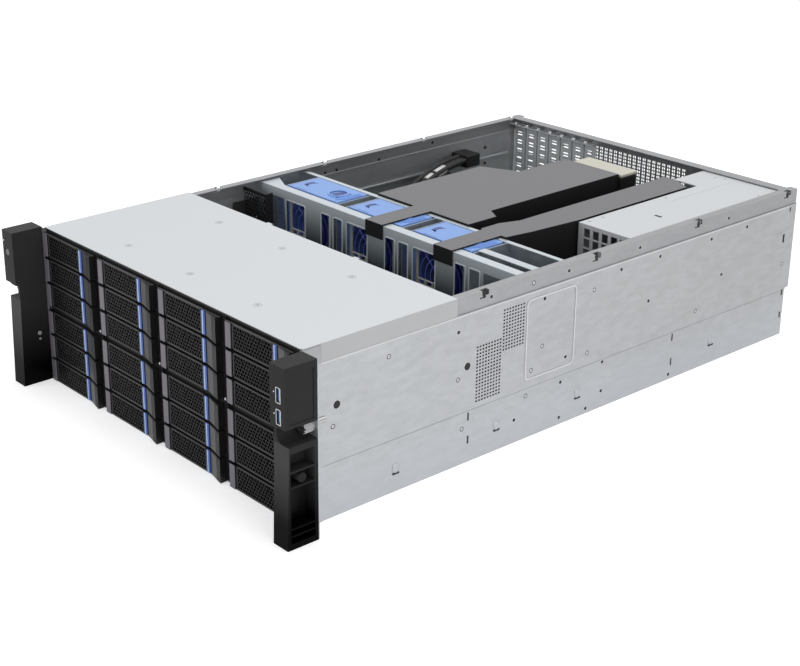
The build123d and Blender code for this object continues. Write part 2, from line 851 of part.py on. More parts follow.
def make_rear_panel():
    """Rear wall with slot windows, ventilation, port window and supply opening."""
    panel_half = strip_in - slip
    fold_half = strip_in - lid_flange - slip
    x = (power_left + power_right) / 2
    with BuildPart() as rear_panel:
        with BuildSketch(across(rear_in)):
            span(-panel_half, panel_half, slip, wall_top - sheet - slip)
            span(-fold_half, fold_half, slip, wall_top)
            for k in range(slot_total):
                with Locations((slot_x + k * slot_pitch, (bracket_bottom + bracket_top) / 2)):
                    Rectangle(slot_window, bracket_top - bracket_bottom - 2 * slot_window_margin,
                              mode=Mode.SUBTRACT)
            for k in range(rear_vent_slots):
                left = rear_vent_left + k * rear_vent_pitch
                span(left, left + rear_vent_width, rear_vent_top - rear_vent_height, rear_vent_top,
                     mode=Mode.SUBTRACT)
            for k in range(supply_count):
                span(x - supply_width / 2 - supply_play, x + supply_width / 2 + supply_play,
                     supply_base(k) - supply_play, supply_base(k) + supply_height + supply_play,
                     mode=Mode.SUBTRACT)
            for left, width, height in ports:
                span(port_x + left - port_play, port_x + left + width + port_play, port_z - port_play,
                     port_z + height + port_play, mode=Mode.SUBTRACT)
        extrude(amount=-sheet)
        with BuildSketch(level(wall_top - sheet)):
            span(-fold_half, fold_half, deep(rear_in - rear_flange), deep(body_depth))
        extrude(amount=sheet)
    save(rear_panel, "rear_panel")


def make_slot_covers():
    """Seven blanking brackets with ladder vents and a folded screw tab."""
    with BuildPart() as slot_covers:
        for k in range(slot_total):
            x = slot_x + k * slot_pitch
            rise = (bracket_top - bracket_bottom - 2 * bracket_margin) / bracket_rungs
            with BuildSketch(across(rear_in)):
                span(x - bracket_width / 2, x + bracket_width / 2, bracket_bottom, bracket_top)
                for rung in range(bracket_rungs):
                    z = bracket_bottom + bracket_margin + rung * rise
                    span(x - rung_width / 2, x + rung_width / 2, z, z + rung_height, mode=Mode.SUBTRACT)
            extrude(amount=sheet)
            with BuildSketch(level(bracket_top - sheet)):
                span(x - bracket_width / 2, x + bracket_width / 2,
                     deep(rear_in - bracket_tab), deep(rear_in))
            extrude(amount=sheet)
    save(slot_covers, "slot_covers")


def make_main_board():
    """Circuit board on hexagon spacers, with two processor sockets and a memory socket row."""
    spacer_xs = (board_left + spacer_edge, (board_left + board_right) / 2, board_right - spacer_edge)
    spacer_ys = (board_front_y + spacer_edge, board_back_y - spacer_edge)
    with BuildPart() as main_board:
        with BuildSketch(level(board_z)):
            span(board_left, board_right, deep(board_front_y), deep(board_back_y))
        extrude(amount=board_thick)
        with BuildSketch(level(board_z)):
            with Locations(*[(x, deep(y)) for x in spacer_xs for y in spacer_ys]):
                RegularPolygon(radius=spacer_r, side_count=spacer_sides)
        extrude(amount=-(board_z - sheet))
        with BuildSketch(level(board_z + board_thick)):
            for x, y in sink_places:
                with Locations((x, deep(y))):
                    Rectangle(socket_size, socket_size)
            for k in range(module_total):
                span(dimm_left + k * dimm_pitch, dimm_left + k * dimm_pitch + dimm_thick,
                     deep(dimm_front), deep(dimm_front + dimm_length))
        extrude(amount=socket_height)
    save(main_board, "main_board")


def make_heat_sinks():
    """Finned coolers on the two processor sockets."""
    low = board_z + board_thick + socket_height
    with BuildPart() as heat_sinks:
        for x, y in sink_places:
            with BuildSketch(across(y - sink_size / 2)):
                span(x - sink_size / 2, x + sink_size / 2, low, low + sink_base)
                for fin in range(sink_fins):
                    left = x - sink_size / 2 + fin * (sink_size - fin_thick) / (sink_fins - 1)
                    span(left, left + fin_thick, low, low + sink_height)
            extrude(amount=-sink_size)
    save(heat_sinks, "heat_sinks")


def make_memory():
    low = board_z + board_thick + socket_height
    with BuildPart() as memory_modules:
        with BuildSketch(level(low)):
            for k in range(module_total):
                x = dimm_left + k * dimm_pitch
                span(x + dimm_seat, x + dimm_thick - dimm_seat,
                     deep(dimm_front), deep(dimm_front + dimm_length))
        extrude(amount=dimm_height)
    save(memory_modules, "memory_modules")


def make_rear_ports():
    """Socket shells on the board's rear edge, seen through the rear wall."""
    with BuildPart() as rear_ports:
        for left, width, height in ports:
            with BuildSketch(across(body_depth)):
                span(port_x + left, port_x + left + width, port_z, port_z + height)
            extrude(amount=port_depth)
            with BuildSketch(across(body_depth)):
                span(port_x + left + port_wall, port_x + left + width - port_wall,
                     port_z + port_wall, port_z + height - port_wall)
            extrude(amount=port_depth - port_wall, mode=Mode.SUBTRACT)
    save(rear_ports, "rear_ports")


def make_cables():
    """Two sleeved cables from their plugs on the left wall to the fan wall."""
    with BuildPart() as drive_cables:
        for points in cable_routes:
            route = [Vector(x - wall_in, deep(y), z) for x, y, z in points]
            runs = [(b - a).length for a, b in zip(route, route[1:])]
            radii = []
            for k in range(1, len(route) - 1):
                turn = math.radians((route[k] - route[k - 1]).get_angle(route[k + 1] - route[k]))
                radii.append(cable_bend * min(runs[k - 1], runs[k]) / math.tan(turn / 2))
            with BuildLine() as path:
                FilletPolyline(*route, radius=radii)
            with BuildSketch(Plane(origin=route[0], z_dir=route[1] - route[0])):
                Circle(cable_r)
            sweep(path=path.wires()[0])
            # Plug block between the wall and the cable's end
            x, y, z = points[0]
            with BuildSketch(across(y - sheet)):
                span(rotor_gap - wall_in, x + plug_wall - wall_in, z - plug_half, z + plug_half)
            extrude(amount=-plug_depth)
    save(drive_cables, "drive_cables")


os.makedirs("parts", exist_ok=True)
make_base_pan()
make_side_panel(-1, "side_panel_left")
make_side_panel(1, "side_panel_right")
make_front_cover()
for cage_index, cage_name in enumerate(("lower_drive_cage", "upper_drive_cage")):
    make_drive_cage(cage_index, cage_name)
for column_index in range(columns):
    for row_index in range(row_total):
        make_carrier(column_index, row_index)
make_backplane()
for side_sign, side_name in ((-1, "left"), (1, "right")):
    make_ear(side_sign, f"ear_{side_name}")
    make_thumbscrew(side_sign, f"thumbscrew_{side_name}")
make_power_button()
make_usb_ports()
make_fan_wall()
make_fan_cage()
for fan_index in range(fan_count):
    make_fan_module(fan_index)
    for tier_index in range(len(fan_heights)):
        make_rotor(fan_index, tier_index)
make_ducts()
make_power_cage()
for supply_index in range(supply_count):
    make_supply(supply_index)
make_rear_panel()
make_slot_covers()
make_main_board()
make_heat_sinks()
make_memory()
make_rear_ports()
make_cables()
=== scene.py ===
# %% [markdown]
# A four-unit rack server with its rear lid off. The frame holds every solid at its real place, in metres,
# with Z up and the front facing -Y. This notebook gives the solids their finishes and adds the small pieces
# that make the metalwork and mouldings look made: perforated grilles, marker bars, rivets and fan caps.

# %% Load the frame
import bmesh
import bpy
import json
import math
from mathutils import Matrix, Vector

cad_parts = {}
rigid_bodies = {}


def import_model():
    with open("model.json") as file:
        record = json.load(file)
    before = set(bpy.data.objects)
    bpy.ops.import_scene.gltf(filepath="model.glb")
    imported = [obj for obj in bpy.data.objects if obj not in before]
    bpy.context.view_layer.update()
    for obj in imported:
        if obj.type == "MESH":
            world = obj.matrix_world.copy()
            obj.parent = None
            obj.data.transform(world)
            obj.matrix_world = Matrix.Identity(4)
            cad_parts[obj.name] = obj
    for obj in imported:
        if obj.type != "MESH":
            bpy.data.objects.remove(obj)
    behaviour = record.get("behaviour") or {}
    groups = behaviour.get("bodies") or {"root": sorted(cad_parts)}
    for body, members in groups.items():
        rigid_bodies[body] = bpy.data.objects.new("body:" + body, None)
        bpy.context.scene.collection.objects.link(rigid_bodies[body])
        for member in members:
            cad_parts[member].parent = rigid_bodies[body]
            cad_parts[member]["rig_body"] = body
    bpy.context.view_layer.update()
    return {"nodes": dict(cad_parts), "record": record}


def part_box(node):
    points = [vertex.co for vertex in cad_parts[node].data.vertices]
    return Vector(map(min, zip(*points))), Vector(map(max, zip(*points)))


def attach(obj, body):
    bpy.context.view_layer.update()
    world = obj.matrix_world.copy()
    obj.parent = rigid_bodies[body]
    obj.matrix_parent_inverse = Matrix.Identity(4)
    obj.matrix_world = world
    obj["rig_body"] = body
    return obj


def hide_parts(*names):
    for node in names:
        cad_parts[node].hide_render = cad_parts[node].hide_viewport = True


for item in list(bpy.data.objects):
    bpy.data.objects.remove(item)
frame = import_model()
MM = 0.001
FLANGE_Y = -0.3458
BODY_HALF = 0.2179


def deep(y_mm):
    """Y of a depth in millimetres behind the rack flange."""
    return FLANGE_Y + y_mm * MM


# %% [markdown]
# The camera stands at the photograph's right front corner, a little above the lid. It could be placed by
# eye, but its place, turn and lens follow from the known width of the rack ears and the parallel edges of
# the case, so they are worked out once and written down. The lens shift frames the case as the photograph
# does.

# %% Camera
AZIMUTH, ELEVATION, ROLL = math.radians(50.78), math.radians(21.74), math.radians(-0.49)
CAMERA_PLACE = (1.20918, -1.12983, 0.71425)
FOCAL_PX, WIDTH_PX = 1594.82, 800
SENSOR = 36.0
LENS_SHIFT = (0.0961, -0.0259)
NEAR_CLIP = 0.05
camera = bpy.data.objects.new("camera", bpy.data.cameras.new("camera"))
bpy.context.scene.collection.objects.link(camera)
back = Vector((math.sin(AZIMUTH) * math.cos(ELEVATION), -math.cos(AZIMUTH) * math.cos(ELEVATION),
               math.sin(ELEVATION)))
level_right = Vector((math.cos(AZIMUTH), math.sin(AZIMUTH), 0))
right = level_right * math.cos(ROLL) + back.cross(level_right) * math.sin(ROLL)
turn = Matrix((right, back.cross(right), back)).transposed()
camera.matrix_world = Matrix.Translation(CAMERA_PLACE) @ turn.to_4x4()
camera.data.sensor_width = SENSOR
camera.data.lens = SENSOR * FOCAL_PX / WIDTH_PX
camera.data.shift_x, camera.data.shift_y = LENS_SHIFT
camera.data.clip_start = NEAR_CLIP
bpy.context.scene.camera = camera
bpy.context.scene.view_settings.view_transform = "Standard"
print("lens", round(camera.data.lens, 1), "mm")


# %% [markdown]
# Shader maths reads best as plain expressions, so a small class wraps a socket and turns + - * into Math
# nodes. Every other node comes from one method that takes its type, its settings and its socket values, and
# a finish is a tree of such nodes round one Principled shader.

# %% Shader helpers
class Wire:
    """A socket whose arithmetic and comparisons add Math nodes."""

    def __init__(self, nodes, socket):
        self.nodes, self.socket = nodes, socket

    def math(self, operation, first, second):
        return self.nodes.node("ShaderNodeMath", {"operation": operation}, {0: first, 1: second})

    def __add__(self, other):
        return self.math("ADD", self, other)

    def __sub__(self, other):
        return self.math("SUBTRACT", self, other)

    def __rsub__(self, other):
        return self.math("SUBTRACT", other, self)

    def __mul__(self, other):
        return self.math("MULTIPLY", self, other)

    def over(self, limit):
        return self.math("GREATER_THAN", self, limit)

    def under(self, limit):
        return self.math("LESS_THAN", self, limit)

    def most(self, other):
        return self.math("MAXIMUM", self, other)

    __radd__ = __add__
    __rmul__ = __mul__


class Nodes:
    """Adds nodes to one tree."""

    def __init__(self, tree):
        self.tree = tree

    def node(self, kind, settings=None, values=None, out=0):
        """Makes a node from its type, its settings and its sockets' values or wires."""
        made = self.tree.nodes.new(kind)
        for name, value in (settings or {}).items():
            setattr(made, name, value)
        for key, value in (values or {}).items():
            self.give(made.inputs[key], value)
        return Wire(self, made.outputs[out])

    def give(self, slot, value):
        """Links a wire to a socket, or sets the socket's own value."""
        if isinstance(value, Wire):
            self.tree.links.new(value.socket, slot)
        elif slot.type == "RGBA":
            slot.default_value = (*value, 1)
        else:
            slot.default_value = value

    def seen(self):
        """1 for camera, glossy and transmission rays, 0 for the light that falls on the case."""
        camera_ray = self.node("ShaderNodeLightPath", out="Is Camera Ray")
        glossy_ray = self.node("ShaderNodeLightPath", out="Is Glossy Ray")
        through_ray = self.node("ShaderNodeLightPath", out="Is Transmission Ray")
        return camera_ray.most(glossy_ray).most(through_ray)


class Finish(Nodes):
    """One material: its Principled shader and the patterns that vary over it."""

    def __init__(self, name, colour, roughness, metallic=0.0, coat=0.0, gloss=0.5):
        self.material = bpy.data.materials.new(name)
        self.material.use_nodes = True
        super().__init__(self.material.node_tree)
        self.shader = self.tree.nodes["Principled BSDF"]
        self.place = self.node("ShaderNodeTexCoord", out="Object")
        self.feed("Base Color", colour)
        self.feed("Roughness", roughness)
        self.feed("Metallic", metallic)
        self.feed("Coat Weight", coat)
        self.feed("Specular IOR Level", gloss)

    def feed(self, socket, value):
        self.give(self.shader.inputs[socket], value)

    def noise(self, scale, detail=2.0, stretch=(1, 1, 1)):
        spot = self.node("ShaderNodeMapping", values={"Vector": self.place, "Scale": stretch})
        return self.node("ShaderNodeTexNoise", values={"Vector": spot, "Scale": scale, "Detail": detail})

    def along(self, axis):
        """The place on the object along one axis, in metres."""
        return self.node("ShaderNodeSeparateXYZ", values={0: self.place}, out=axis)

    def facing(self, axis):
        """The part of the face's direction along one axis, from -1 to 1."""
        normal = self.node("ShaderNodeNewGeometry", out="Normal")
        return self.node("ShaderNodeSeparateXYZ", values={0: normal}, out=axis)

    def mix(self, factor, first, second):
        return self.node("ShaderNodeMix", {"data_type": "RGBA"}, {0: factor, 6: first, 7: second}, out=2)

    def bump(self, height, strength, distance):
        relief = {"Height": height, "Strength": strength, "Distance": distance}
        self.feed("Normal", self.node("ShaderNodeBump", values=relief))


print("shader helpers", Wire.__name__, Nodes.__name__, Finish.__name__)


# %% [markdown]
# Nearly every surface of a server is sheet or moulding with a grain too fine to model. One function makes
# them all: a fine noise for the grain, a slow one for clouds of tone, and the grain again as a shallow
# relief. A finish that changes with height or direction passes a function for its colour instead.

# %% Grained finish
GRAIN_SHARE, CLOUD_SHARE = 0.6, 0.4
CLOUD_SCALE = 9.0
RELIEF_STRENGTH = 0.35
ROUGH_SWING = 0.16
FINE_RELIEF = 0.00004


def shade(colour, factor):
    return tuple(min(1.0, c * factor) for c in colour)


def grained(name, colour, roughness, metallic=0.0, coat=0.0, scale=900, spread=0.12, relief=FINE_RELIEF,
            stretch=(1, 1, 1), gloss=0.5):
    """A finish with grain, clouds of tone and relief. The colour may be a function of finish and tone."""
    varies = callable(colour)
    finish = Finish(name, (0, 0, 0) if varies else colour, roughness, metallic, coat, gloss)
    grain = finish.noise(scale, 2.0, stretch)
    tone = grain * GRAIN_SHARE + finish.noise(CLOUD_SCALE, 3.0) * CLOUD_SHARE
    if varies:
        finish.feed("Base Color", colour(finish, tone))
    else:
        finish.feed("Base Color", finish.mix(tone, shade(colour, 1 - spread), shade(colour, 1 + spread)))
    finish.feed("Roughness", roughness - ROUGH_SWING / 2 + tone * ROUGH_SWING)
    finish.bump(grain, RELIEF_STRENGTH, relief)
    return finish


print("grain relief", FINE_RELIEF / MM, "mm")


# %% [markdown]
# Plain finishes come first. Zinc-coated plate is pale and hardly polished, mouldings are black with a fine
# spark-eroded texture, and the fan housings are a mid blue. Black parts get little gloss, because the white
# room would lie in them as a grey veil.

# %% Plain finishes
# The brackets' zinc plate is pale, and painted paler still than the power cage's plate, which puts the light
# on them into their colour.
BRACKET_PLATE_AND_LIGHT = grained("bracket plate with painted light", (0.86, 0.89, 0.92), 0.4, metallic=0.5, spread=0.04)
PLATE = grained("plain zinc plate", (0.62, 0.64, 0.66), 0.5, metallic=0.3, spread=0.04)
CAGE = grained("cage paint", (0.012, 0.012, 0.013), 0.5, scale=1200, gloss=0.25)
CARRIER = grained("carrier moulding", (0.011, 0.011, 0.012), 0.42, scale=1600, gloss=0.3)
BOARD = grained("board laminate", (0.02, 0.07, 0.045), 0.45, scale=300, spread=0.3)
NICKEL = grained("nickel", (0.42, 0.42, 0.43), 0.3, metallic=1.0, scale=700)
FAN_BLUE = grained("fan moulding", (0.215, 0.385, 0.80), 0.4, scale=1400, spread=0.06)
BLADE = grained("fan blade", (0.012, 0.02, 0.19), 0.35)
CASE = grained("supply case", (0.42, 0.43, 0.45), 0.4, metallic=0.8, scale=500)
SINK = grained("heat sink", (0.6, 0.61, 0.62), 0.35, metallic=0.9, scale=200, stretch=(8, 1, 1))
SLEEVE = grained("cable sleeve", (0.016, 0.016, 0.016), 0.75, spread=0.5, relief=0.0003)
BUTTON = grained("button lens", (0.03, 0.03, 0.032), 0.2, coat=0.2, spread=0.04)
# The bright rim finish serves rims, rivets and screws, and also paints the highlights under the joggle and
# along the bead.
RIM_AND_HIGHLIGHT = grained("punched rim and highlight", (0.62, 0.63, 0.65), 0.35, metallic=0.7)
SHADOW = grained("hole shadow", (0.012, 0.012, 0.013), 0.7, scale=800)
CREAM = grained("connector plastic", (0.62, 0.60, 0.52), 0.5, spread=0.06)
print("materials so far", len(bpy.data.materials))


# %% [markdown]
# Folded sheet gets painted light: one tone where it lies flat, under the large top lamp, and another where it
# stands. The face's own direction tells the two apart, so one finish serves a whole folded part. The ears
# have painted shade, nearly black at the foot and paler upwards, with a painted highlight on the front of the
# handle, and the duct film has painted shade, grey when flat and near black on its folds.

# %% Finishes with painted light and shade by direction and height
FLAT = 0.6
WALL_SHADE_LOW, WALL_SHADE_SPAN = 0.124, 0.045
EAR_SHADE_FOOT, EAR_SHADE_RISE = 0.02, 14
HIGHLIGHT_LOW, HIGHLIGHT_RISE, HIGHLIGHT_TOP = 0.028, 17, 0.1
FRONT_FACE = -0.7


# Painted light: flat faces get one even tone and standing faces a streaky one, chosen by the face's
# direction.
def zinc_with_painted_light(finish, tone):
    painted_standing_tone = finish.mix(finish.noise(60, 3.0, (1, 1, 2)), (0.40, 0.44, 0.48), (0.78, 0.83, 0.88))
    return finish.mix(finish.facing("Z").over(FLAT), painted_standing_tone, (0.57, 0.62, 0.66))


# Painted shade: the lid's standing faces are darker than its top.
def lid_with_painted_shade(finish, tone):
    top = finish.mix(finish.noise(1500), (0.64, 0.67, 0.695), (0.68, 0.71, 0.735))
    return finish.mix(finish.facing("Z").over(FLAT), (0.50, 0.51, 0.52), top)


# Painted shade: the fan wall's standing faces run from near black low down to pale at the top.
def fan_wall_with_painted_shade(finish, tone):
    rise = (finish.along("Z") - WALL_SHADE_LOW) * (1 / WALL_SHADE_SPAN)
    painted_standing_tone = finish.mix(rise, (0.09, 0.105, 0.125), (0.62, 0.68, 0.73))
    return finish.mix(finish.facing("Z").over(FLAT), painted_standing_tone, (0.60, 0.65, 0.69))


# Painted shade darkens the ears towards the foot, and a painted highlight lies on the front of the handle.
def ear_with_painted_light(finish, tone):
    height = finish.along("Z")
    black = finish.mix((height - EAR_SHADE_FOOT) * EAR_SHADE_RISE, (0.0015, 0.0015, 0.0015), (0.036, 0.036, 0.037))
    painted_highlight = (height - HIGHLIGHT_LOW) * HIGHLIGHT_RISE * height.under(HIGHLIGHT_TOP)
    return finish.mix(painted_highlight * finish.facing("Y").under(FRONT_FACE), black, (0.07, 0.07, 0.072))


# Painted shade: the duct film is near black on its standing faces and grey where it lies flat.
def duct_with_painted_shade(finish, tone):
    film = finish.mix(tone, (0.185, 0.185, 0.193), (0.225, 0.225, 0.234))
    return finish.mix(finish.facing("Z").over(FLAT), (0.012, 0.012, 0.013), film)


ZINC = grained("zinc sheet", zinc_with_painted_light, 0.36, metallic=0.9, scale=420)
LID = grained("lid paint", lid_with_painted_shade, 0.5, metallic=0.15, scale=1500)
FAN_SHEET = grained("fan wall sheet", fan_wall_with_painted_shade, 0.45, metallic=0.4, scale=420)
EAR = grained("ear moulding", ear_with_painted_light, 0.28, scale=1600, relief=0.00002, gloss=0.03)
DUCT = grained("duct film", duct_with_painted_shade, 0.55, scale=1000, gloss=0.2)
print("finishes that change", [made.material.name for made in (ZINC, LID, FAN_SHEET, EAR, DUCT)])


# %% [markdown]
# The outer walls are one large zinc sheet each, whose crystals show as a soft spangle. Three noises of
# different size make it. Painted light lies over it: the tone drifts from front to rear and turns paler near
# the floor, as the light does on a long wall. The strip above the joggle is a little darker.

# %% Outer wall sheet
WALL_MIDDLE_Y, LIGHT_DRIFT = 0.25, 0.4
FLOOR_LIGHT_BELOW, FLOOR_LIGHT_RISE = 0.06, 8
JOGGLE_Z, STRIP_SHARE = 0.1574, 0.38
GRAIN_PART, SPANGLE_PART, CLOUD_PART, TONE_DROP = 0.2, 0.55, 0.25, 0.1
WALL_ROUGHNESS = 0.36
WALL_ZINC = Finish("wall zinc sheet", (0.5, 0.5, 0.5), 0.44, metallic=0.7)
wall_grain = WALL_ZINC.noise(420, 2.0)
spangle = WALL_ZINC.noise(95, 4.0, (1, 0.6, 1.6))
wall_clouds = WALL_ZINC.noise(7.0, 3.0, (1, 1, 2))
up_z = WALL_ZINC.along("Z")
# Painted light: the tone falls from the front of the wall to its rear.
painted_drift = (WALL_MIDDLE_Y - WALL_ZINC.along("Y")) * LIGHT_DRIFT
pattern = wall_grain * GRAIN_PART + spangle * SPANGLE_PART + wall_clouds * CLOUD_PART
wall_tone = pattern + painted_drift - TONE_DROP
pale_tone = WALL_ZINC.mix(wall_tone, (0.31, 0.312, 0.322), (0.56, 0.58, 0.60))
# Painted light: the sheet turns paler near the floor.
floor_lit_tone = WALL_ZINC.mix((FLOOR_LIGHT_BELOW - up_z) * FLOOR_LIGHT_RISE, pale_tone, (0.50, 0.53, 0.57))
strip_tone = WALL_ZINC.mix(up_z.over(JOGGLE_Z) * STRIP_SHARE, floor_lit_tone, (0.20, 0.20, 0.21))
WALL_ZINC.feed("Base Color", strip_tone)
WALL_ZINC.feed("Roughness", wall_tone * ROUGH_SWING + WALL_ROUGHNESS)
WALL_ZINC.bump(wall_grain, RELIEF_STRENGTH, FINE_RELIEF)
print("wall sheet nodes", len(WALL_ZINC.tree.nodes))


# %% [markdown]
# Each solid of the frame names a material slot, so its finish follows from the slot. A few solids of bare
# sheet need their own look, and a short list by name goes before the slots.

# %% Give the solids their finishes
BY_SLOT = {"galvanised": ZINC, "cover_paint": LID, "cage_black": CAGE, "carrier": CARRIER, "board": BOARD,
           "ear_plastic": EAR, "button": BUTTON, "bright_metal": NICKEL, "screw_steel": NICKEL,
           "fan_blue": FAN_BLUE, "rotor": BLADE, "duct": DUCT, "supply": CASE, "sink": SINK, "cable": SLEEVE}
BY_NODE = {"side_panel_left": WALL_ZINC, "side_panel_right": WALL_ZINC, "base_pan": WALL_ZINC,
           "rear_panel": WALL_ZINC, "power_cage": PLATE, "slot_covers": BRACKET_PLATE_AND_LIGHT, "fan_wall": FAN_SHEET}
for part in frame["record"]["subparts"]:
    mesh = frame["nodes"][part["node"]].data
    mesh.materials.clear()
    mesh.materials.append(BY_NODE.get(part["node"], BY_SLOT[part["material_slot"]]).material)
print("finishes by slot", len(BY_SLOT), "by node", len(BY_NODE))


# %% [markdown]
# The small pieces are cut from boxes, rods and frames. A cube or cylinder could be edited by hand, but each
# maker here adds one closed form to an open bmesh, so that a whole row of rivets becomes a single piece.
# "piece" then turns the bmesh into an object that rides on its body.

# %% Piece makers
MERGE = 0.000001


def block(shape, low, high, edge=0.0, segments=1):
    """A box between two corners, with chamfered or rounded edges."""
    low, high = Vector(low), Vector(high)
    place = Matrix.Translation((low + high) / 2) @ Matrix.Diagonal((*(high - low), 1))
    made = bmesh.ops.create_cube(shape, size=1, matrix=place)["verts"]
    if edge:
        edges = list({e for v in made for e in v.link_edges})
        made = bmesh.ops.bevel(shape, geom=edges, offset=edge, segments=segments, profile=0.5,
                               affect="EDGES", material=-1)["verts"]
    return made


def rod(shape, start, end, radius, sides=16, tip=None):
    """A cylinder between two points, or a cone where tip gives the far radius."""
    start, end = Vector(start), Vector(end)
    turned = (end - start).to_track_quat("Z", "Y").to_matrix().to_4x4()
    bmesh.ops.create_cone(shape, cap_ends=True, segments=sides, radius1=radius,
                          radius2=radius if tip is None else tip, depth=(end - start).length,
                          matrix=Matrix.Translation((start + end) / 2) @ turned)


def round_frame(shape, place, width, length, corner, band, rise, sides=32):
    """A raised frame with round corners, or a ring, in the XY plane of the place matrix."""
    ring = bmesh.new()
    half_step = Matrix.Rotation(math.pi / sides, 4, "Z")
    made = bmesh.ops.create_circle(ring, cap_ends=True, segments=sides, radius=corner, matrix=half_step)
    for vert in made["verts"]:
        vert.co.x += math.copysign(width / 2 - corner, vert.co.x)
        vert.co.y += math.copysign(length / 2 - corner, vert.co.y)
    plate = ring.faces[:]
    bmesh.ops.inset_region(ring, faces=plate, thickness=band, use_boundary=True)
    bmesh.ops.delete(ring, geom=plate, context="FACES")
    bmesh.ops.solidify(ring, geom=ring.faces[:], thickness=-rise)
    bmesh.ops.transform(ring, matrix=place, verts=ring.verts[:])
    spare = bpy.data.meshes.new("spare")
    ring.to_mesh(spare)
    ring.free()
    shape.from_mesh(spare)
    bpy.data.meshes.remove(spare)


def oval(shape, place, half_width, half_length, height):
    """A flat oval disc in the XY plane of the place matrix."""
    bmesh.ops.create_cone(shape, cap_ends=True, segments=32, radius1=1, radius2=1, depth=height,
                          matrix=place @ Matrix.Diagonal((half_width, half_length, 1, 1)))


def facing_front(x, y, z):
    """A place matrix whose Z axis points out of the front."""
    return Matrix.Translation((x, y, z)) @ Matrix.Rotation(math.pi / 2, 4, "X")


def piece(name, shape, finish, body, smooth=False):
    """Closes a bmesh into an object with one finish that rides on a body."""
    bmesh.ops.remove_doubles(shape, verts=shape.verts[:], dist=MERGE)
    bmesh.ops.recalc_face_normals(shape, faces=shape.faces)
    for face in shape.faces:
        face.smooth = smooth
    mesh = bpy.data.meshes.new(name)
    shape.to_mesh(mesh)
    shape.free()
    made = bpy.data.objects.new(name, mesh)
    bpy.context.scene.collection.objects.link(made)
    mesh.materials.append(finish.material)
    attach(made, body)


print("piece makers ready")


# %% [markdown]
# Each drive carrier's front is perforated for the air. Cutting hundreds of holes with booleans is slow, so
# hexagonal cells are laid side by side, inset, and thickened once their middles are gone. The front of one
# carrier is built at its lower left corner and copied to all twenty-four.

# %% Perforated plate
COLUMNS, ROWS = 4, 6
COLUMN_PITCH = 0.10895
BEZEL_Y = deep(-1)
BEZEL_HEIGHT = 0.0254
FIRST_ROW, WELD_SHARE = 0.6, 0.01


def perforated(shape, left, low, columns, rows, y, pitch, hole, thick):
    """A plate of staggered hexagonal holes in the XZ plane."""
    step = pitch * math.sqrt(3) / 2
    upright = Matrix.Rotation(math.pi / 2, 4, "X") @ Matrix.Rotation(math.pi / 6, 4, "Z")
    for row in range(rows):
        for column in range(columns):
            across = pitch * (column + 0.5 + 0.5 * (row % 2))
            centre = Vector((left + across, y, low + step * (row + FIRST_ROW)))
            bmesh.ops.create_circle(shape, cap_ends=True, segments=6, radius=pitch / math.sqrt(3),
                                    matrix=Matrix.Translation(centre) @ upright)
    bmesh.ops.remove_doubles(shape, verts=shape.verts, dist=pitch * WELD_SHARE)
    cells = shape.faces[:]
    bmesh.ops.recalc_face_normals(shape, faces=cells)
    bmesh.ops.inset_individual(shape, faces=cells, thickness=(pitch - hole) / 2)
    bmesh.ops.delete(shape, geom=cells, context="FACES")
    bmesh.ops.solidify(shape, geom=shape.faces[:], thickness=thick)


def carrier_front(name, make, finish):
    """Copies one shape, built at a carrier's lower left corner, to all the carriers."""
    first = bmesh.new()
    make(first)
    for column in range(COLUMNS):
        for row in range(ROWS):
            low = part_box(f"drive_carrier_{column + 1}_{row + 1}")[0]
            copy = first.copy()
            bmesh.ops.translate(copy, verts=copy.verts, vec=(low.x, 0, low.z))
            piece(f"{name}_{column + 1}_{row + 1}", copy, finish, f"drive_{column + 1}_{row + 1}")
    first.free()


print("carriers", COLUMNS * ROWS)


# %% [markdown]
# The grille is a thin plate with a frame round it. Its webs catch a little light, and what lies behind the
# holes has to stay black, so a thin dark sheet of painted shade with no gloss at all closes the view.

# %% Carrier grilles
MESH = grained("perforated front", (0.034, 0.034, 0.036), 0.42, scale=1500, gloss=0.3)
# Painted shade: a black sheet with no gloss behind the grille's holes.
GRILLE_SHADE = grained("grille painted shade", (0.002, 0.002, 0.002), 0.95, scale=800, gloss=0.0)
MESH_PITCH, MESH_HOLE, MESH_THICK = 0.0042, 0.0032, 0.0006
MESH_LEFT, MESH_RIGHT = 0.0097, 0.0707
MESH_STEP = MESH_PITCH * math.sqrt(3) / 2
MESH_MARGIN, MESH_DROP = 0.0005, 0.1
SHADE_REACH, SHADE_MARGIN = (0.00012, 0.00002), 0.0006
FRAME_HEIGHT, FRAME_WIDTH, FRAME_EDGE = 0.0016, 0.0018, 0.0002


def strip(shape, span, reach, margin, edge=0.0, segments=1):
    """An upright strip on the bezel between two widths and two distances in front of it."""
    low = (span[0], BEZEL_Y - reach[0], margin)
    block(shape, low, (span[1], BEZEL_Y - reach[1], BEZEL_HEIGHT - margin), edge, segments)


